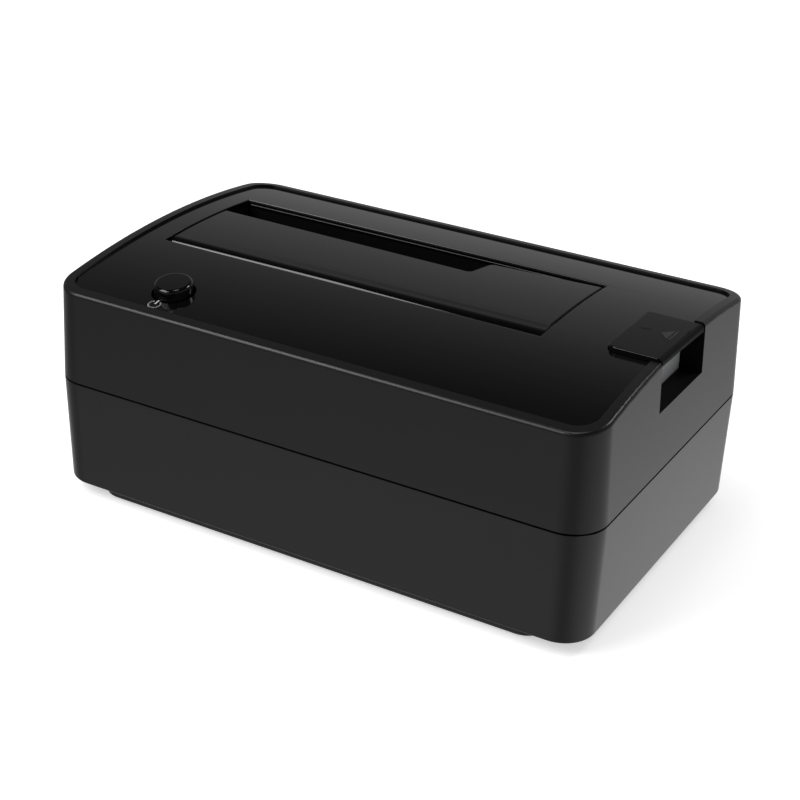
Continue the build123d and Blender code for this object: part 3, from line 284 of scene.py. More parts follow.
def grained(tree, place, detail, rough, grain_mm, bump_mm):
    """noise of the grain's real size, with the roughness and the relief that follow from it"""
    grain = add(tree, "ShaderNodeTexNoise", [
        ("Vector", place), ("Scale", 1 / (grain_mm * MM)), ("Detail", detail)])
    gloss = add(tree, "ShaderNodeMapRange", [
        ("Value", grain), ("To Min", rough[0]), ("To Max", rough[1])])
    relief = add(tree, "ShaderNodeBump", [
        ("Height", grain), ("Distance", bump_mm * MM), ("Strength", 1.0)])
    return grain, gloss, relief


def moulded_plastic(name, colour, tone, rough, grain_mm, bump_mm, waves_mm=0.0, specular=0.5):
    """a moulded plastic: two close tones, a grain of the tool's size, and slow waves if polished"""
    material, tree, place = new_material(name)
    _, gloss, relief = grained(tree, place, 2.0, rough, grain_mm, bump_mm)
    cloud = add(tree, "ShaderNodeTexNoise", [
        ("Vector", place), ("Scale", CLOUDS_PER_METRE), ("Detail", 3.0)])
    shade = add(tree, "ShaderNodeMixRGB", [
        ("Fac", cloud), ("Color1", linear(colour)), ("Color2", linear(tone))])
    if waves_mm:
        wave = add(tree, "ShaderNodeTexNoise", [
            ("Vector", place), ("Scale", 1 / WAVE_LENGTH), ("Detail", 0.0)])
        relief = add(tree, "ShaderNodeBump", [
            ("Height", wave), ("Distance", waves_mm * MM), ("Strength", 1.0), ("Normal", relief)])
    close_material(tree, add(tree, "ShaderNodeBsdfPrincipled", [
        ("Base Color", shade), ("Roughness", gloss), ("Normal", relief),
        ("IOR", 1.5), ("Specular IOR Level", specular)]))
    return material


# each has: name, two close tones, roughness from and to, grain in mm, height of its bumps in mm
# spark-eroded tool: an even satin sheen, and no sharp reflections
satin_abs = moulded_plastic(
    "satin_moulded_abs", "#0d0d0e", "#101011", (0.30, 0.36), 0.25, 0.0009)
# polished tool: a near mirror in black, with slow waves in what it reflects
polished_abs = moulded_plastic(
    "polished_moulded_abs", "#060606", "#080808", (0.05, 0.08), 0.5, 0.0003, waves_mm=0.004)
# lightly polished tool: a dim, blurred gloss
soft_gloss_abs = moulded_plastic(
    "soft_gloss_moulded_abs", "#090909", "#0b0b0b", (0.24, 0.28), 0.3, 0.0004, specular=0.12)
# tool left rough: deep black without glints, as on the bay and the press mark. The same
# darker black is also laid as painted shade in the seam gap, the finger notch, the door's right
# edge and the tab's right side
matt_black_and_painted_shade = moulded_plastic(
    "matt_moulded_abs_and_painted_shade", "#040404", "#060606", (0.55, 0.70), 0.4, 0.008, specular=0.15)
# natural acetal: light grey and slightly waxy
slider_acetal = moulded_plastic(
    "light_moulded_acetal", "#a8aaab", "#b0b2b3", (0.40, 0.50), 0.4, 0.004)
# pad-printed ink: a dull light grey film
print_ink = moulded_plastic(
    "light_grey_pad_print_ink", "#b8b8b6", "#c2c2c0", (0.45, 0.60), 0.2, 0.004)
# tinted acetal: mid grey and slightly waxy
grey_acetal = moulded_plastic(
    "grey_moulded_acetal", "#8a8c8e", "#949698", (0.35, 0.45), 0.5, 0.004)
# glass-filled nylon: dull black, faintly mottled by its fibres
glass_nylon = moulded_plastic(
    "black_glass_filled_nylon", "#141414", "#1b1b1b", (0.45, 0.60), 0.25, 0.010)
# unfilled nylon: warm off-white
white_nylon = moulded_plastic(
    "natural_white_nylon", "#dcd8cc", "#e4e0d6", (0.40, 0.50), 0.4, 0.006)
# tinted glass-filled nylon: a strong blue, dulled by its fibres
blue_nylon = moulded_plastic(
    "blue_glass_filled_nylon", "#1552b4", "#1a5cc0", (0.40, 0.50), 0.3, 0.006)
# moulding epoxy: dark grey, almost chalky
chip_epoxy = moulded_plastic(
    "black_moulding_epoxy", "#191a1b", "#222324", (0.50, 0.65), 0.2, 0.010)
# moulded rubber: the dullest of the blacks
rubber = moulded_plastic(
    "black_moulded_rubber", "#17181a", "#1e1f20", (0.70, 0.85), 0.3, 0.012)
# extruded PVC: smooth mid grey with a soft sheen
sheath_pvc = moulded_plastic(
    "grey_pvc_sheath", "#4a4c50", "#54565a", (0.45, 0.55), 0.5, 0.004)
print(len(bpy.data.materials), "materials with the floor and the plastics")

# %% [markdown]
# ## Metals and clear plastic
# Spring steel is drawn wire and screws are zinc plated, so both are bright but not mirrors. The
# data port's case is nickel on pressed steel, the contacts are gold on brass, and the capacitors
# have aluminium cans. A grain that is stretched along one axis gives the fine lines that shaping
# leaves in a metal. The light pipe is clear acrylic.

# %% Metal maker
HAZE_PER_METRE = 2500.0


def plain_metal(name, colour, tone, rough, grain_mm, bump_mm, stretch=(1.0, 1.0, 1.0)):
    """a metal with the fine lines or spangle of how it was drawn, rolled or plated"""
    material, tree, place = new_material(name)
    stretched = add(tree, "ShaderNodeMapping", [("Vector", place), ("Scale", stretch)])
    grain, gloss, relief = grained(tree, stretched, 3.0, rough, grain_mm, bump_mm)
    shade = add(tree, "ShaderNodeMixRGB", [
        ("Fac", grain), ("Color1", linear(colour)), ("Color2", linear(tone))])
    close_material(tree, add(tree, "ShaderNodeBsdfPrincipled", [
        ("Base Color", shade), ("Roughness", gloss), ("Normal", relief), ("Metallic", 1.0)]))
    return material


# each has: name, two close tones, roughness from and to, grain in mm, height of its bumps in mm
# drawn wire: bright grey with a fine broken grain
spring_steel = plain_metal(
    "drawn_spring_steel", "#8f9194", "#a4a6a9", (0.24, 0.36), 0.2, 0.002)
# zinc plating: pale grey with a faint spangle
zinc_plate = plain_metal(
    "zinc_plated_steel", "#a9acae", "#bfc1c2", (0.26, 0.42), 0.5, 0.003)
# nickel on pressed sheet: warm grey, with fine lines along its length
nickel_plate = plain_metal(
    "nickel_plated_steel", "#b5b1a8", "#c4c0b8", (0.18, 0.30), 0.6, 0.002, (1.0, 0.1, 1.0))
# gold on brass: clear warm yellow
gold_plate = plain_metal(
    "gold_plated_brass", "#d9a441", "#e6b65a", (0.18, 0.28), 0.3, 0.001)
# aluminium can: pale, with fine lines up its side
spun_aluminium = plain_metal(
    "spun_aluminium", "#b9bbbd", "#cacccd", (0.28, 0.40), 0.2, 0.003, (1.0, 1.0, 0.1))

# moulded acrylic: smoky and clear, with a faint haze
clear_acrylic, tree, place = new_material("clear_moulded_acrylic")
haze = add(tree, "ShaderNodeTexNoise", [
    ("Vector", place), ("Scale", HAZE_PER_METRE), ("Detail", 2.0)])
gloss = add(tree, "ShaderNodeMapRange", [("Value", haze), ("To Min", 0.05), ("To Max", 0.12)])
close_material(tree, add(tree, "ShaderNodeBsdfPrincipled", [
    ("Base Color", linear("#26282a")), ("Roughness", gloss), ("IOR", 1.49),
    ("Transmission Weight", 0.3)]))
print(len(bpy.data.materials), "materials with the metals and the acrylic")

# %% [markdown]
# ## Circuit board
# A board is glass cloth in epoxy under a green solder mask. Copper tracks show through the mask as
# slightly lighter lines, and tinned pads as bright dots. A brick pattern gives the tracks, and a
# small Voronoi pattern gives the pads and vias.

# %% Board material
TRACK_WIDTH, TRACK_LENGTH, TRACK_PITCH = 0.22 * MM, 6.5 * MM, 2.1 * MM
TRACK_RELIEF = 0.03 * MM
PADS_PER_METRE = 300.0
PAD_RADIUS = 0.11  # of the distance from one pad to the next
# solder mask: a green gloss, with the tracks under it as slightly raised lines
solder_mask, tree, place = new_material("green_solder_mask_on_glass_epoxy")
tracks = add(tree, "ShaderNodeTexBrick", [
    ("Vector", place), ("Scale", 1.0), ("Mortar Size", TRACK_WIDTH), ("Brick Width", TRACK_LENGTH),
    ("Row Height", TRACK_PITCH), ("Color1", linear("#0f4a2b")), ("Color2", linear("#115030")),
    ("Mortar", linear("#1c6a40"))]).outputs
pads = add(tree, "ShaderNodeTexVoronoi", [
    ("Vector", place), ("Scale", PADS_PER_METRE), ("Randomness", 0.6)])
is_pad = add(tree, "ShaderNodeMath", [
    (0, pads.outputs["Distance"]), (1, PAD_RADIUS)], operation="LESS_THAN")
shade = add(tree, "ShaderNodeMixRGB", [
    ("Fac", is_pad), ("Color1", tracks["Color"]), ("Color2", linear("#b9bab6"))])
relief = add(tree, "ShaderNodeBump", [
    ("Height", tracks["Fac"]), ("Distance", TRACK_RELIEF), ("Strength", 1.0)])
gloss = add(tree, "ShaderNodeMapRange", [("Value", is_pad), ("To Min", 0.32), ("To Max", 0.22)])
close_material(tree, add(tree, "ShaderNodeBsdfPrincipled", [
    ("Base Color", shade), ("Roughness", gloss), ("Normal", relief)]))
print("board material with tracks every", round(TRACK_PITCH / MM, 1), "mm")

# %% [markdown]
# ## Finishes on the CAD pieces
# A CAD piece that already has its real shape keeps it, and takes its finish here. Each piece comes
# with the slot that the record names for it, so one table joins a slot to its finish.

# %% Finish by slot
FINISH = {
    "shell": satin_abs, "gloss_black": polished_abs, "bay_black": matt_black_and_painted_shade,
    "lever_grey": grey_acetal, "steel": spring_steel, "screw_steel": zinc_plate,
    "port_shell": nickel_plate, "circuit_board": solder_mask, "connector_black": glass_nylon,
    "contact_gold": gold_plate, "usb_blue": blue_nylon, "chip_black": chip_epoxy,
    "can_aluminium": spun_aluminium, "connector_white": white_nylon, "clear_pipe": clear_acrylic,
    "lead_sheath": sheath_pvc, "foot_rubber": rubber,
}
for piece in nodes.values():
    piece.data.materials[0] = FINISH[piece.data.materials[0].name]
print(len(nodes), "CAD pieces have one of", len(FINISH), "finishes")

# %% [markdown]
# ## The crowned top
# The top of the case is one arc from front to back, straight from side to side, and every surface
# on it, rim, panel and door, follows that arc at its own depth. The arc is the one circle through
# the heights of the case at its front, its middle and its rear.

# %% Arc and depth
HALF_DEPTH = cad_box[1][1]
CROWN_MIDDLE, CROWN_FRONT, CROWN_REAR = 58.75 * MM, 54.0 * MM, 55.0 * MM
CROWN_Z = (2 * CROWN_MIDDLE ** 2 - 2 * HALF_DEPTH ** 2 - CROWN_FRONT ** 2 - CROWN_REAR ** 2) / (
    4 * CROWN_MIDDLE - 2 * CROWN_FRONT - 2 * CROWN_REAR)
CROWN_Y = (CROWN_REAR ** 2 - CROWN_FRONT ** 2 + 2 * (CROWN_FRONT - CROWN_REAR) * CROWN_Z) / (
    4 * HALF_DEPTH)
CROWN_RADIUS = hypot(CROWN_Y, CROWN_MIDDLE - CROWN_Z)
DEPTH_SLACK = 0.05  # in millimetres, as every depth below the crown is


def crown_height(y):
    """height of the crown's arc above the table at a distance y back from the middle"""
    return CROWN_Z + sqrt(CROWN_RADIUS ** 2 - (y - CROWN_Y) ** 2)


def depth_of(point):
    """how far a point lies below the crown, in millimetres"""
    return (crown_height(point.y) - point.z) / MM


def at_depth(point, depth_mm):
    """true for a point on the surface that runs at this depth below the crown"""
    return abs(depth_of(point) - depth_mm) < DEPTH_SLACK


print("crown radius", round(CROWN_RADIUS / MM, 3), "mm")

# %% [markdown]
# ## Rounded edges and a smooth arc
# A CAD mesh has only a few flat steps along the arc, which a glossy panel would show, and its edges
# are sharp, where a moulding's are rounded by its tool. So a piece is copied and its triangles are
# merged, its edges are rounded, and then it is sliced every 1.5 mm and the new points are lifted to
# the arc at the depth that they had. A rounding can end in the middle of an edge only where a line
# of edges crosses it, so that line is cut first.

# %% Merging, rounding and slicing
SLICE = 1.5 * MM
MERGE = 0.002 * MM
FLAT_ANGLE = radians(0.2)
SHARP_ANGLE = radians(28.0)
EDGE_ANGLE = radians(40.0)
NEAR = 0.06 * MM  # how close a point has to be to a line or plane to count as on it
MARKED = 0.999  # a point's mark is 1 if it is to be lifted, and 0 if not


def merged(node):
    """a CAD node's loose triangles as one closed mesh with its flat faces whole"""
    mesh = bmesh.new()
    mesh.from_mesh(nodes[node].data)
    bmesh.ops.remove_doubles(mesh, verts=mesh.verts, dist=MERGE)
    bmesh.ops.dissolve_limit(mesh, angle_limit=FLAT_ANGLE, verts=mesh.verts, edges=mesh.edges)
    return mesh


def round_edges(mesh, width_mm, chosen, steps=3):
    """rounds the sharp edges whose two ends are both chosen; chosen gets a point in metres"""
    mesh.normal_update()
    edges = [e for e in mesh.edges if len(e.link_faces) == 2
             and e.calc_face_angle(0.0) > EDGE_ANGLE and all(chosen(v.co) for v in e.verts)]
    bmesh.ops.bevel(mesh, geom=edges, offset=width_mm * MM, offset_type="OFFSET", segments=steps,
                    profile=0.5, affect="EDGES", clamp_overlap=True)
    return len(edges)


def cut_across(mesh, place, way):
    """adds a line of edges all round the mesh, in the plane at this place along an axis"""
    everything = list(mesh.verts) + list(mesh.edges) + list(mesh.faces)
    bmesh.ops.bisect_plane(mesh, geom=everything, dist=MERGE,
                           plane_co=[place * c for c in way], plane_no=way)


def lift_to_crown(mesh, depth_mm, chosen=None):
    """slices what lies less than depth below the crown, and puts the new points on the arc"""
    drop = mesh.verts.layers.float.new("drop")
    near = mesh.verts.layers.float.new("near")
    for v in mesh.verts:
        v[drop] = crown_height(v.co.y) - v.co.z
        v[near] = float(abs(v[drop]) < depth_mm * MM and (chosen is None or chosen(v.co)))
    low = min(v.co.y for v in mesh.verts)
    high = max(v.co.y for v in mesh.verts)
    for i in range(1, int((high - low) / SLICE) + 1):
        faces = [f for f in mesh.faces if all(v[near] > MARKED for v in f.verts)]
        edges = {e for f in faces for e in f.edges}
        corners = {v for f in faces for v in f.verts}
        bmesh.ops.bisect_plane(mesh, geom=faces + list(edges) + list(corners), dist=MERGE / 2,
                               plane_co=(0, low + i * SLICE, 0), plane_no=(0, 1, 0))
    for v in mesh.verts:
        if v[near] > MARKED:
            v.co.z = crown_height(v.co.y) - v[drop]


print("slices every", round(SLICE / MM, 1), "mm")

# %% [markdown]
# ## From a mesh to a piece
# A finished mesh becomes an object that is smooth across its roundings and creased where two faces
# meet at a clear angle. Weighted normals keep the large flat faces flat beside a small rounding, as
# they are on a moulding. One moulding can have areas of another finish, where its tool is polished,
# and some faces get a darker matt black that is painted shade, so some of its faces can take a
# further material.

# %% From a mesh to a piece
def as_piece(mesh, name, material):
    """a smooth-shaded object from a mesh, with creases at its clear edges"""
    bmesh.ops.remove_doubles(mesh, verts=mesh.verts, dist=MERGE / 2)
    mesh.normal_update()
    for f in mesh.faces:
        f.smooth = True
    for e in mesh.edges:
        e.smooth = e.calc_face_angle(0.0) < SHARP_ANGLE
    data = bpy.data.meshes.new(name)
    mesh.to_mesh(data)
    mesh.free()
    data.materials.append(material)
    piece = bpy.data.objects.new(name, data)
    bpy.context.scene.collection.objects.link(piece)
    evened = piece.modifiers.new("even_shading", "WEIGHTED_NORMAL")
    evened.keep_sharp = True
    return piece


def finish_faces(piece, material, chosen):
    """gives a further material to the faces that chosen picks by their middle and their normal"""
    piece.data.materials.append(material)
    for face in piece.data.polygons:
        if chosen(face.center, face.normal):
            face.material_index = len(piece.data.materials) - 1


def place_piece(piece, body, node=None):
    """the piece rides on a body, and replaces a node if one is named"""
    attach(piece, body)
    if node:
        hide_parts(node)
    print(piece.name, len(piece.data.polygons), "faces")


# %% [markdown]
# ## Top panel
# The panel is a thin polished moulding that drops into the rim. Its outer edge and the edges at the
# sides and the rear of the bay's opening have the small radius that every moulded edge has. Along
# the front of the opening the edge stays crisp, because the door's barrel turns close beside it.

# %% Top panel
PANEL_SINK = 0.6
PANEL_THICK = 3.0  # what lies less than this below the crown follows it
OPENING_X = (-61.7 * MM, 42.2 * MM)
OPENING_SIDE_END, OPENING_REAR = -4.0 * MM, 25.1 * MM
PANEL_EDGE_X, PANEL_EDGE_Y = 64.5 * MM, 38.0 * MM
OPENING_ROUND, PANEL_ROUND = 0.22, 0.3  # radii of the edges in millimetres


def at_opening(p):
    """true round the sides and the rear of the bay's opening"""
    return (at_depth(p, PANEL_SINK) and OPENING_X[0] < p.x < OPENING_X[1]
            and OPENING_SIDE_END - NEAR < p.y < OPENING_REAR)


def at_panel_edge(p):
    """true along the panel's outer edge"""
    return at_depth(p, PANEL_SINK) and (abs(p.x) > PANEL_EDGE_X or abs(p.y) > PANEL_EDGE_Y)


mesh = merged("top_panel")
cut_across(mesh, OPENING_SIDE_END, (0, 1, 0))
round_edges(mesh, OPENING_ROUND, at_opening)
round_edges(mesh, PANEL_ROUND, at_panel_edge)
lift_to_crown(mesh, PANEL_THICK)
panel = as_piece(mesh, "glossy_top_panel", polished_abs)
place_piece(panel, "base", "top_panel")

# %% [markdown]
# ## Door
# The door is a polished plate with a barrel along its front edge, where it hangs on its two pins.
# Its top edges are rounded like the panel's, and its right edge more, where it is seen as a dark
# line: that side takes a darker matt black, which is painted shade for the gap beside the panel.
# The barrel is already round, so only the plate behind it is lifted to the crown.

# %% Door
DOOR_SINK = 0.9
DOOR_THICK = 3.2
BARREL_END = -5.5 * MM
DOOR_SIDE_END = -5.0 * MM
DOOR_ROUND, DOOR_SIDE_ROUND = 0.22, 0.55
# the door's right side within this strip is painted shade: a darker matt black for the gap beside
# the panel
SHADE_STRIP = 0.7 * MM
SHADE_TILT = 0.2  # share of a face's normal that has to point along the axis
mesh = merged("door_flap")
door_right = max(v.co.x for v in mesh.verts)


def at_door_side(p):
    """true along the door's right edge, up to the cut"""
    return at_depth(p, DOOR_SINK) and p.x > door_right - NEAR and p.y > DOOR_SIDE_END - NEAR


cut_across(mesh, DOOR_SIDE_END, (0, 1, 0))
round_edges(mesh, DOOR_SIDE_ROUND, at_door_side, 4)
round_edges(mesh, DOOR_ROUND, lambda p: at_depth(p, DOOR_SINK) and p.y > BARREL_END)
lift_to_crown(mesh, DOOR_THICK, lambda p: p.y > BARREL_END)
door = as_piece(mesh, "glossy_bay_door", polished_abs)
# painted shade: the door's right side is made a darker matt black, for the shadow in the gap
finish_faces(door, matt_black_and_painted_shade, lambda middle, normal:
             normal.x > SHADE_TILT and middle.x > door_right - SHADE_STRIP)
place_piece(door, "door", "door_flap")

# %% [markdown]
# ## Shells
# Two satin shells meet at half height in a fine shadow gap, which hides any mismatch between two
# mouldings. The edges along that gap, round the finger notch and along the rim have a radius of one
# or two tenths of a millimetre, and it is that radius which catches the light. The faces inside the
# notch and in the gap take a darker matt black, as painted shade in the recess and between the
# shells.

# %% Shells
SEAM_LOW, SEAM_HIGH = 30.7 * MM, 31.1 * MM
SEAM_SHADE = 0.3 * MM
OUTSIDE_X, OUTSIDE_Y = 70.4 * MM, 43.6 * MM
NOTCH_IN, NOTCH_OUT, NOTCH_SIDE, NOTCH_LOW = 60.0 * MM, 71.6 * MM, 14.6 * MM, 46.0 * MM
NOTCH_REACH, NOTCH_CLEAR = 16.0 * MM, 1.0 * MM
RIM_DEEP = 1.0
RIM_THICK = 1.2
UPPER_SEAM_ROUND, LOWER_SEAM_ROUND, NOTCH_ROUND, RIM_ROUND = 0.06, 0.2, 0.25, 0.2
SEAM_TILT, NOTCH_TILT = 0.3, 0.5


def on_outside(p):
    """true on the outer walls of a shell"""
    return abs(p.x) > OUTSIDE_X or abs(p.y) > OUTSIDE_Y


def at_notch_edge(p):
    """true round the mouth of the finger notch, in the right wall"""
    return (p.x > OUTSIDE_X and abs(p.y) < NOTCH_REACH
            and SEAM_HIGH + NOTCH_CLEAR < p.z < crown_height(p.y) - NOTCH_CLEAR)


def notch_shade_face(middle, normal):
    """true for the notch's floor, ceiling and sides, which take the painted shade"""
    return (NOTCH_IN < middle.x < NOTCH_OUT and abs(middle.y) < NOTCH_SIDE and middle.z > NOTCH_LOW
            and abs(normal.x) < NOTCH_TILT and depth_of(middle) > RIM_DEEP)


mesh = merged("upper_shell")
seam_edges = round_edges(mesh, UPPER_SEAM_ROUND,
                         lambda p: abs(p.z - SEAM_HIGH) < NEAR and on_outside(p), 2)
notch_edges = round_edges(mesh, NOTCH_ROUND, at_notch_edge)
rim_edges = round_edges(mesh, RIM_ROUND, lambda p: at_depth(p, 0.0), 2)
print("rounded", seam_edges, "seam,", notch_edges, "notch and", rim_edges, "rim edges")
lift_to_crown(mesh, RIM_THICK)
upper = as_piece(mesh, "satin_upper_shell", satin_abs)
# painted shade: a darker matt black on the faces inside the finger notch and in the seam gap
finish_faces(upper, matt_black_and_painted_shade, lambda middle, normal: notch_shade_face(middle, normal) or (
    abs(middle.z - SEAM_HIGH) < SEAM_SHADE and normal.z < -SEAM_TILT))
place_piece(upper, "base", "upper_shell")

mesh = merged("lower_shell")
round_edges(mesh, LOWER_SEAM_ROUND, lambda p: abs(p.z - SEAM_LOW) < NEAR and on_outside(p))
lower = as_piece(mesh, "satin_lower_shell", satin_abs)
# painted shade: a darker matt black on the faces in the seam gap
finish_faces(lower, matt_black_and_painted_shade, lambda middle, normal:
             abs(middle.z - SEAM_LOW) < SEAM_SHADE and normal.z > SEAM_TILT)
place_piece(lower, "base", "lower_shell")

# %% [markdown]
# ## Eject tab
# The tab's cap has a soft gloss on top, a polished rounding along its front edge, and a right side
# in a darker matt black, which is painted shade. Under it a plain moulded slider goes down into its
# shaft, and its light face shows as a wall at the back of the finger notch. Both are one CAD node,
# so they stay one mesh here, with four finishes on it.

# %% Eject tab
SLIDER_WALL = (65.2 * MM, 66.4 * MM)
CAP_UNDERSIDE = 56.3 * MM
CAP_EDGE = 57.9 * MM
CAP_ROUND_END = 69.6 * MM
CAP_ROUND = 0.3
ROUNDING_TILT, SIDE_TILT, WALL_TILT = 0.15, 0.25, 0.9
mesh = merged("eject_button")
cut_across(mesh, CAP_ROUND_END, (1, 0, 0))
round_edges(mesh, CAP_ROUND, lambda p: p.z > CAP_EDGE and p.x < CAP_ROUND_END + NEAR, 4)
tab = as_piece(mesh, "glossy_eject_tab", soft_gloss_abs)
# painted shade: the cap's right side is made a darker matt black, so that it reads dark
finish_faces(tab, matt_black_and_painted_shade, lambda middle, normal:
             normal.x > SIDE_TILT and middle.z > CAP_UNDERSIDE)
finish_faces(tab, polished_abs, lambda middle, normal:
             normal.y < -ROUNDING_TILT and normal.z > ROUNDING_TILT)
finish_faces(tab, slider_acetal, lambda middle, normal:
             normal.x > WALL_TILT and SLIDER_WALL[0] < middle.x < SLIDER_WALL[1])
place_piece(tab, "eject", "eject_button")

# %% [markdown]
# ## Power button
# A round polished cap stands in a close round hole. Its top edge is the widest radius on the top of
# the case, so the softboxes show in it as a few short glints. The CAD mesh has that radius already,
# so it is only merged and shaded smooth.

# %% Power button
button = as_piece(merged("power_button"), "glossy_power_button", polished_abs)
place_piece(button, "power", "power_button")

# %% [markdown]
# ## Bay
# The bay is a matt moulding, so that nothing inside it glints. Along the back of the opening its
# wall carries a thin rib with one step in it, which stands in the gap between the panel and the
# door. The rib is polished, so its two rounded edges show as two fine lines.

# %% Bay
bay = as_piece(merged("drive_bay"), "matt_drive_bay", matt_black_and_painted_shade)
place_piece(bay, "base", "drive_bay")

RIB_X = (-61.6, 42.1)
RIB_SECTION = (  # distance back from the middle, and depth below the crown
    (24.41, 2.6), (24.93, 2.6), (24.93, 1.0), (24.675, 1.0), (24.675, 1.6), (24.41, 1.6))
RIB_ROUND, RIB_ROUND_DEPTH = 0.08, 2.0


def close_prism(mesh, one_end, other_end):
    """the two end faces of a prism, and the sides between them, from two rings of points"""
    mesh.faces.new(one_end)
    mesh.faces.new(other_end[::-1])
    for i in range(len(one_end)):
        j = (i + 1) % len(one_end)
        mesh.faces.new((other_end[i], other_end[j], one_end[j], one_end[i]))


mesh = bmesh.new()
rib_ends = [[mesh.verts.new((x * MM, y * MM, crown_height(y * MM) - depth * MM))
             for y, depth in RIB_SECTION] for x in RIB_X]
close_prism(mesh, *rib_ends)
bmesh.ops.recalc_face_normals(mesh, faces=mesh.faces)
round_edges(mesh, RIB_ROUND, lambda p: depth_of(p) < RIB_ROUND_DEPTH, 2)
place_piece(as_piece(mesh, "bay_rear_rib", polished_abs), "base")

# %% [markdown]
# ## Marks on the top
# A mark is a thin plate that follows the surface it lies on: a print is a few hundredths of a
# millimetre thick, and a moulded symbol stands a tenth proud. One function makes both, from closed
# outlines and the height of the surface, and sets the plate's foot a little way into it.

# %% Mark maker
MARK_FOOT = 0.02


def flat_mark(outlines, height_of, thickness_mm):
    """thin plates from closed outlines in millimetres, on the surface whose height is given"""
    mesh = bmesh.new()
    for outline in outlines:
        top, foot = [[mesh.verts.new((x * MM, y * MM, height_of(y * MM) + lift_mm * MM))
                      for x, y in outline] for lift_mm in (thickness_mm, -MARK_FOOT)]
        close_prism(mesh, top, foot)
    bmesh.ops.recalc_face_normals(mesh, faces=mesh.faces)
    return mesh


def bar(x0, y0, x1, y1, width):
    """a bar with square ends from one point to another, as a closed outline"""
    length = hypot(x1 - x0, y1 - y0)
    nx, ny = (y1 - y0) / length * width / 2, -(x1 - x0) / length * width / 2
    return [(x0 + nx, y0 + ny), (x1 + nx, y1 + ny), (x1 - nx, y1 - ny), (x0 - nx, y0 - ny)]


# %% [markdown]
# ## Power symbol
# The power symbol is printed on the panel in light grey ink, in front of the button: a ring with a
# gap at its rear, and a bar in the gap. The ring is a row of short plates, so that each lies on the
# crown.

# %% Power symbol
SYMBOL_X, SYMBOL_Y = -44.0, -39.25
SYMBOL_RADIUS, SYMBOL_STROKE = 1.45, 0.42
SYMBOL_BAR = (0.1, 1.75)
INK_THICK = 0.02
GAP_HALF = radians(38.0)
RING_STEPS = 40


def ring_point(step, radius):
    """a point of the open ring, with the steps counted from one side of its gap"""
    turn = GAP_HALF + (2 * pi - 2 * GAP_HALF) * step / RING_STEPS
    return SYMBOL_X + radius * sin(turn), SYMBOL_Y + radius * cos(turn)


def panel_height(y):
    """height of the panel's face"""
    return crown_height(y) - PANEL_SINK * MM


inner, outer = SYMBOL_RADIUS - SYMBOL_STROKE / 2, SYMBOL_RADIUS + SYMBOL_STROKE / 2
outlines = [[ring_point(i, inner), ring_point(i, outer), ring_point(i + 1, outer),
             ring_point(i + 1, inner)] for i in range(RING_STEPS)]
outlines.append(bar(SYMBOL_X, SYMBOL_Y + SYMBOL_BAR[0], SYMBOL_X, SYMBOL_Y + SYMBOL_BAR[1],
                    SYMBOL_STROKE))
symbol = as_piece(flat_mark(outlines, panel_height, INK_THICK), "power_symbol_print", print_ink)
place_piece(symbol, "base")

# %% [markdown]
# ## Marks on the eject tab
# A raised triangle over a bar says that the tab ejects. It is turned to be read from the right end
# of the case, so the triangle points to the middle. Beside it a small matt dash marks where a
# finger presses. The tab's top has a slope and a crown of its own, and the marks follow that.

# %% Marks on the eject tab
TAB_FRONT, TAB_REAR = -10.7, 14.0
TAB_HEIGHTS = (59.148, 58.249)
TAB_CROWN = 0.15
MARK_X, MARK_Y, MARK_HALF = 66.4, 2.9, 3.0
TRIANGLE_TIP, TRIANGLE_FOOT = -1.6, 0.9
BAR_AWAY, BAR_WIDTH = 1.5, 0.5
RAISED, RAISED_ROUND = 0.1, 0.07
DASH = (60.0, 3.05, 62.3, 3.35)
DASH_WIDTH, DASH_THICK = 0.35, 0.012


def tab_height(y):
    """height of the tab's top, which slopes back under a slight crown of its own"""
    t = (y / MM - TAB_FRONT) / (TAB_REAR - TAB_FRONT)
    return (TAB_HEIGHTS[0] * (1 - t) + TAB_HEIGHTS[1] * t + TAB_CROWN * 4 * t * (1 - t)) * MM


near_end, far_end = MARK_Y - MARK_HALF, MARK_Y + MARK_HALF
triangle = [(MARK_X + TRIANGLE_FOOT, near_end), (MARK_X + TRIANGLE_FOOT, far_end),
            (MARK_X + TRIANGLE_TIP, MARK_Y)]
under = bar(MARK_X + BAR_AWAY, near_end, MARK_X + BAR_AWAY, far_end, BAR_WIDTH)
mesh = flat_mark([triangle, under], tab_height, RAISED)
round_edges(mesh, RAISED_ROUND, lambda p: p.z > tab_height(p.y) + RAISED / 2 * MM, 2)
place_piece(as_piece(mesh, "raised_eject_symbol", polished_abs), "eject")
mesh = flat_mark([bar(*DASH, DASH_WIDTH)], tab_height, DASH_THICK)
place_piece(as_piece(mesh, "press_mark", matt_black_and_painted_shade), "eject")

# %% [markdown]
# ## Node tree of a spring
# Each coil spring is one wire wound on a helix. A node tree makes all three: it lays a line of
# points, turns it into the helix, closes up the first and last turn as a spring winder does, and
# sweeps the wire's round section along it. The inputs are the sizes on the spring's drawing.

# %% Spring tree
WIRE_POINTS, WIRE_SIDES = 320, 12


def new_geometry_tree(name, sizes, counts=()):
    """an empty node tree with one geometry output and named inputs, and the sockets of these"""
    tree = bpy.data.node_groups.new(name, "GeometryNodeTree")
    tree.interface.new_socket("Geometry", in_out="OUTPUT", socket_type="NodeSocketGeometry")
    for names, kind in ((sizes, "NodeSocketFloat"), (counts, "NodeSocketInt")):
        for item in names:
            tree.interface.new_socket(item, in_out="INPUT", socket_type=kind)
    return tree, add(tree, "NodeGroupInput").outputs


def close_geometry_tree(tree, geometry, material):
    """makes instances real, gives the material and joins the result to the tree's output"""
    real = add(tree, "GeometryNodeRealizeInstances", [("Geometry", geometry)])
    done = add(tree, "GeometryNodeSetMaterial", [("Geometry", real), ("Material", material)])
    add(tree, "NodeGroupOutput", [("Geometry", done)])


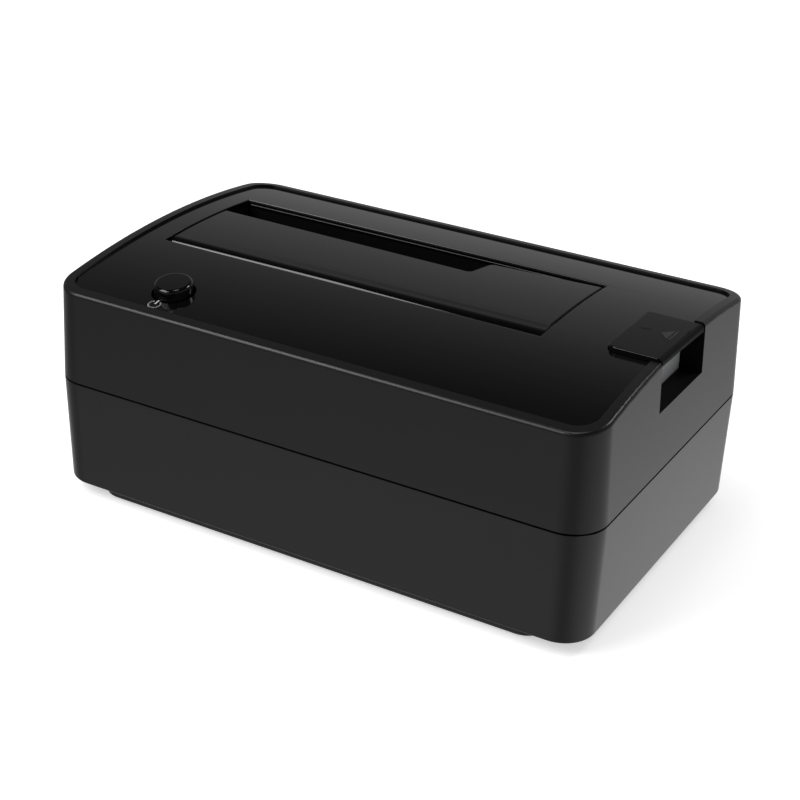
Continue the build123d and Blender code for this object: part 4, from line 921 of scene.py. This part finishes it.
def spring_tree(material):
    """a node tree that winds a compression spring with closed ends, from z = 0 up"""
    tree, sizes = new_geometry_tree("wind_spring", ("Coil Radius", "Wire", "Turns", "Length"))
    wire, turns = sizes["Wire"], sizes["Turns"]
    line = add(tree, "GeometryNodeCurvePrimitiveLine", [("End", (0.0, 0.0, 1.0))])
    points = add(tree, "GeometryNodeResampleCurve", [("Curve", line), ("Count", WIRE_POINTS)])
    share = add(tree, "GeometryNodeSplineParameter").outputs["Factor"]
    turn = add(tree, "ShaderNodeMath", [(0, share), (1, turns)], operation="MULTIPLY")

    # the closed turns at the two ends rise by one wire each, and the open turns between by the rest
    last = add(tree, "ShaderNodeMath", [(0, turns), (1, 1.0)], operation="SUBTRACT")
    half_wire = add(tree, "ShaderNodeMath", [(0, wire), (1, 0.5)], operation="MULTIPLY")
    two_wires = add(tree, "ShaderNodeMath", [(0, wire), (1, 2.0)], operation="MULTIPLY")
    inside = add(tree, "ShaderNodeMath", [(0, sizes["Length"]), (1, wire)], operation="SUBTRACT")
    open_rise = add(tree, "ShaderNodeMath", [(0, inside), (1, two_wires)], operation="SUBTRACT")
    height = half_wire
    for first, end, rise in ((0.0, 1.0, wire), (1.0, last, open_rise), (last, turns, wire)):
        part = add(tree, "ShaderNodeMapRange", [
            ("Value", turn), ("From Min", first), ("From Max", end), ("To Max", rise)])
        height = add(tree, "ShaderNodeMath", [(0, height), (1, part)], operation="ADD")

    angle = add(tree, "ShaderNodeMath", [(0, turn), (1, 2 * pi)], operation="MULTIPLY")
    cosine = add(tree, "ShaderNodeMath", [(0, angle)], operation="COSINE")
    sine = add(tree, "ShaderNodeMath", [(0, angle)], operation="SINE")
    circle = add(tree, "ShaderNodeCombineXYZ", [("X", cosine), ("Y", sine)])
    reach = add(tree, "ShaderNodeVectorMath", [
        (0, circle), ("Scale", sizes["Coil Radius"])], operation="SCALE")
    rise = add(tree, "ShaderNodeCombineXYZ", [("Z", height)])
    spot = add(tree, "ShaderNodeVectorMath", [(0, reach), (1, rise)], operation="ADD")
    helix = add(tree, "GeometryNodeSetPosition", [("Geometry", points), ("Position", spot)])
    section = add(tree, "GeometryNodeCurvePrimitiveCircle", [
        ("Resolution", WIRE_SIDES), ("Radius", half_wire)])
    coil = add(tree, "GeometryNodeCurveToMesh", [
        ("Curve", helix), ("Profile Curve", section), ("Fill Caps", True)])
    close_geometry_tree(tree, coil, material)
    return tree


def grown(tree, sizes, name, turn, place):
    """runs a node tree once with the named sizes, and keeps the result as a plain mesh in place"""
    seed = bpy.data.objects.new(name + "_seed", bpy.data.meshes.new(name + "_seed"))
    bpy.context.scene.collection.objects.link(seed)
    growing = seed.modifiers.new("grow", "NODES")
    growing.node_group = tree
    for item in tree.interface.items_tree:
        if item.name in sizes:
            growing[item.identifier] = sizes[item.name]
    bpy.context.view_layer.update()
    evaluated = seed.evaluated_get(bpy.context.evaluated_depsgraph_get())
    data = bpy.data.meshes.new_from_object(evaluated)
    data.name = name
    data.transform(Matrix.Translation(place) @ turn)
    data.polygons.foreach_set("use_smooth", [True] * len(data.polygons))
    data.set_sharp_from_angle(angle=EDGE_ANGLE)
    bpy.data.objects.remove(seed)
    piece = bpy.data.objects.new(name, data)
    bpy.context.scene.collection.objects.link(piece)
    return piece


# %% [markdown]
# ## Springs
# The eject and switch springs stand upright, each wound up from its lower end, and each gets a mesh
# of its own. The door's spring is wound round the left hinge pin. Each coil fills the box of the
# simple CAD spring that it replaces, so it sits between the same two seats.

# %% Springs
wind_spring = spring_tree(spring_steel)
UPRIGHT = Matrix.Identity(4)
ALONG_X = Matrix.Rotation(pi / 2, 4, "Y")
SPRINGS = (  # node, radius of the coil's centre line, wire, turns, the way it lies, in millimetres
    ("eject_spring", 2.3, 0.5, 9.0, UPRIGHT),
    ("door_spring", 1.6, 0.5, 8.0, ALONG_X),
    ("switch_spring", 1.7, 0.35, 5.0, UPRIGHT),
)
SQUASHED = {  # joint that presses the spring, and the share of its length that is left
    "eject_spring": ("eject_slide", 0.68),
    "switch_spring": ("power_slide", 0.59),
}
for node, radius, wire, turns, way in SPRINGS:
    low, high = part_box(node)
    middle = (low + high) / 2
    if way is ALONG_X:
        length, place = high.x - low.x, Vector((low.x, middle.y, middle.z))
    else:
        length, place = high.z - low.z, Vector((middle.x, middle.y, low.z))
    sizes = {"Coil Radius": radius * MM, "Wire": wire * MM, "Turns": turns, "Length": length}
    coil = grown(wind_spring, sizes, "wound_" + node, way, place)
    place_piece(coil, "base", node)
    if node in SQUASHED:
        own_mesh(coil)

# %% [markdown]
# ## Node tree of the contacts
# A drive plugs into two rows of contacts, a short one for data and a long one for power. Each
# contact is a leaf of gilt brass that bows into the slit and presses on the drive's pad. A node
# tree sweeps one leaf and sets a copy at every point of two lines.

# %% Contact tree
LEAF_STEPS = 8


def contact_tree(material):
    """a node tree that sets bowed contact leaves along two lines, in the order data, then power"""
    tree, sizes = new_geometry_tree(
        "set_contacts", ("Pitch", "Width", "Thickness", "Height", "Bow", "Data Start",
                         "Power Start"), ("Data Count", "Power Count"))
    half_way = add(tree, "ShaderNodeMath", [(0, sizes["Height"]), (1, 0.5)], operation="MULTIPLY")
    pull = add(tree, "ShaderNodeMath", [(0, sizes["Bow"]), (1, -2.0)], operation="MULTIPLY")
    belly = add(tree, "ShaderNodeCombineXYZ", [("Y", pull), ("Z", half_way)])
    tip = add(tree, "ShaderNodeCombineXYZ", [("Z", sizes["Height"])])
    spine = add(tree, "GeometryNodeCurveQuadraticBezier", [
        ("Resolution", LEAF_STEPS), ("Start", (0.0, 0.0, 0.0)), ("Middle", belly), ("End", tip)])
    section = add(tree, "GeometryNodeCurvePrimitiveQuadrilateral", [
        ("Width", sizes["Width"]), ("Height", sizes["Thickness"])])
    leaf = add(tree, "GeometryNodeCurveToMesh", [
        ("Curve", spine), ("Profile Curve", section), ("Fill Caps", True)])
    step = add(tree, "ShaderNodeCombineXYZ", [("X", sizes["Pitch"])])
    rows = add(tree, "GeometryNodeJoinGeometry")
    for row in ("Data", "Power"):
        first = add(tree, "ShaderNodeCombineXYZ", [("X", sizes[row + " Start"])])
        line = add(tree, "GeometryNodeMeshLine", [
            ("Count", sizes[row + " Count"]), ("Start Location", first), ("Offset", step)])
        tree.links.new(line.outputs[0], rows.inputs[0])
    leaves = add(tree, "GeometryNodeInstanceOnPoints", [("Points", rows), ("Instance", leaf)])
    close_geometry_tree(tree, leaves, material)
    return tree


# %% [markdown]
# ## Contacts
# The two rows have the standard pitch of 1.27 mm, with 7 contacts for data and 15 for power. They
# fill the box of the CAD contacts that they replace: the data row starts at its left end, and the
# power row ends at its right end.

# %% Contacts
CONTACT_PITCH, CONTACT_WIDTH, LEAF_THICKNESS = 1.27 * MM, 0.6 * MM, 0.2 * MM
DATA_CONTACTS, POWER_CONTACTS = 7, 15
low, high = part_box("socket_contacts")
power_row = (POWER_CONTACTS - 1) * CONTACT_PITCH
sizes = {
    "Pitch": CONTACT_PITCH, "Width": CONTACT_WIDTH, "Thickness": LEAF_THICKNESS,
    "Height": high.z - low.z, "Bow": high.y - low.y - LEAF_THICKNESS,
    "Data Count": DATA_CONTACTS, "Data Start": low.x + CONTACT_WIDTH / 2,
    "Power Count": POWER_CONTACTS, "Power Start": high.x - CONTACT_WIDTH / 2 - power_row}
place = Vector((0.0, high.y - LEAF_THICKNESS / 2, low.z))
contacts = grown(contact_tree(gold_plate), sizes, "bowed_socket_contacts", UPRIGHT, place)
place_piece(contacts, "base", "socket_contacts")

# %% [markdown]
# ## Finish
# The view keeps Blender's Standard transform, so a colour renders as it is written.

# %% Finish
bpy.context.scene.view_settings.view_transform = "Standard"
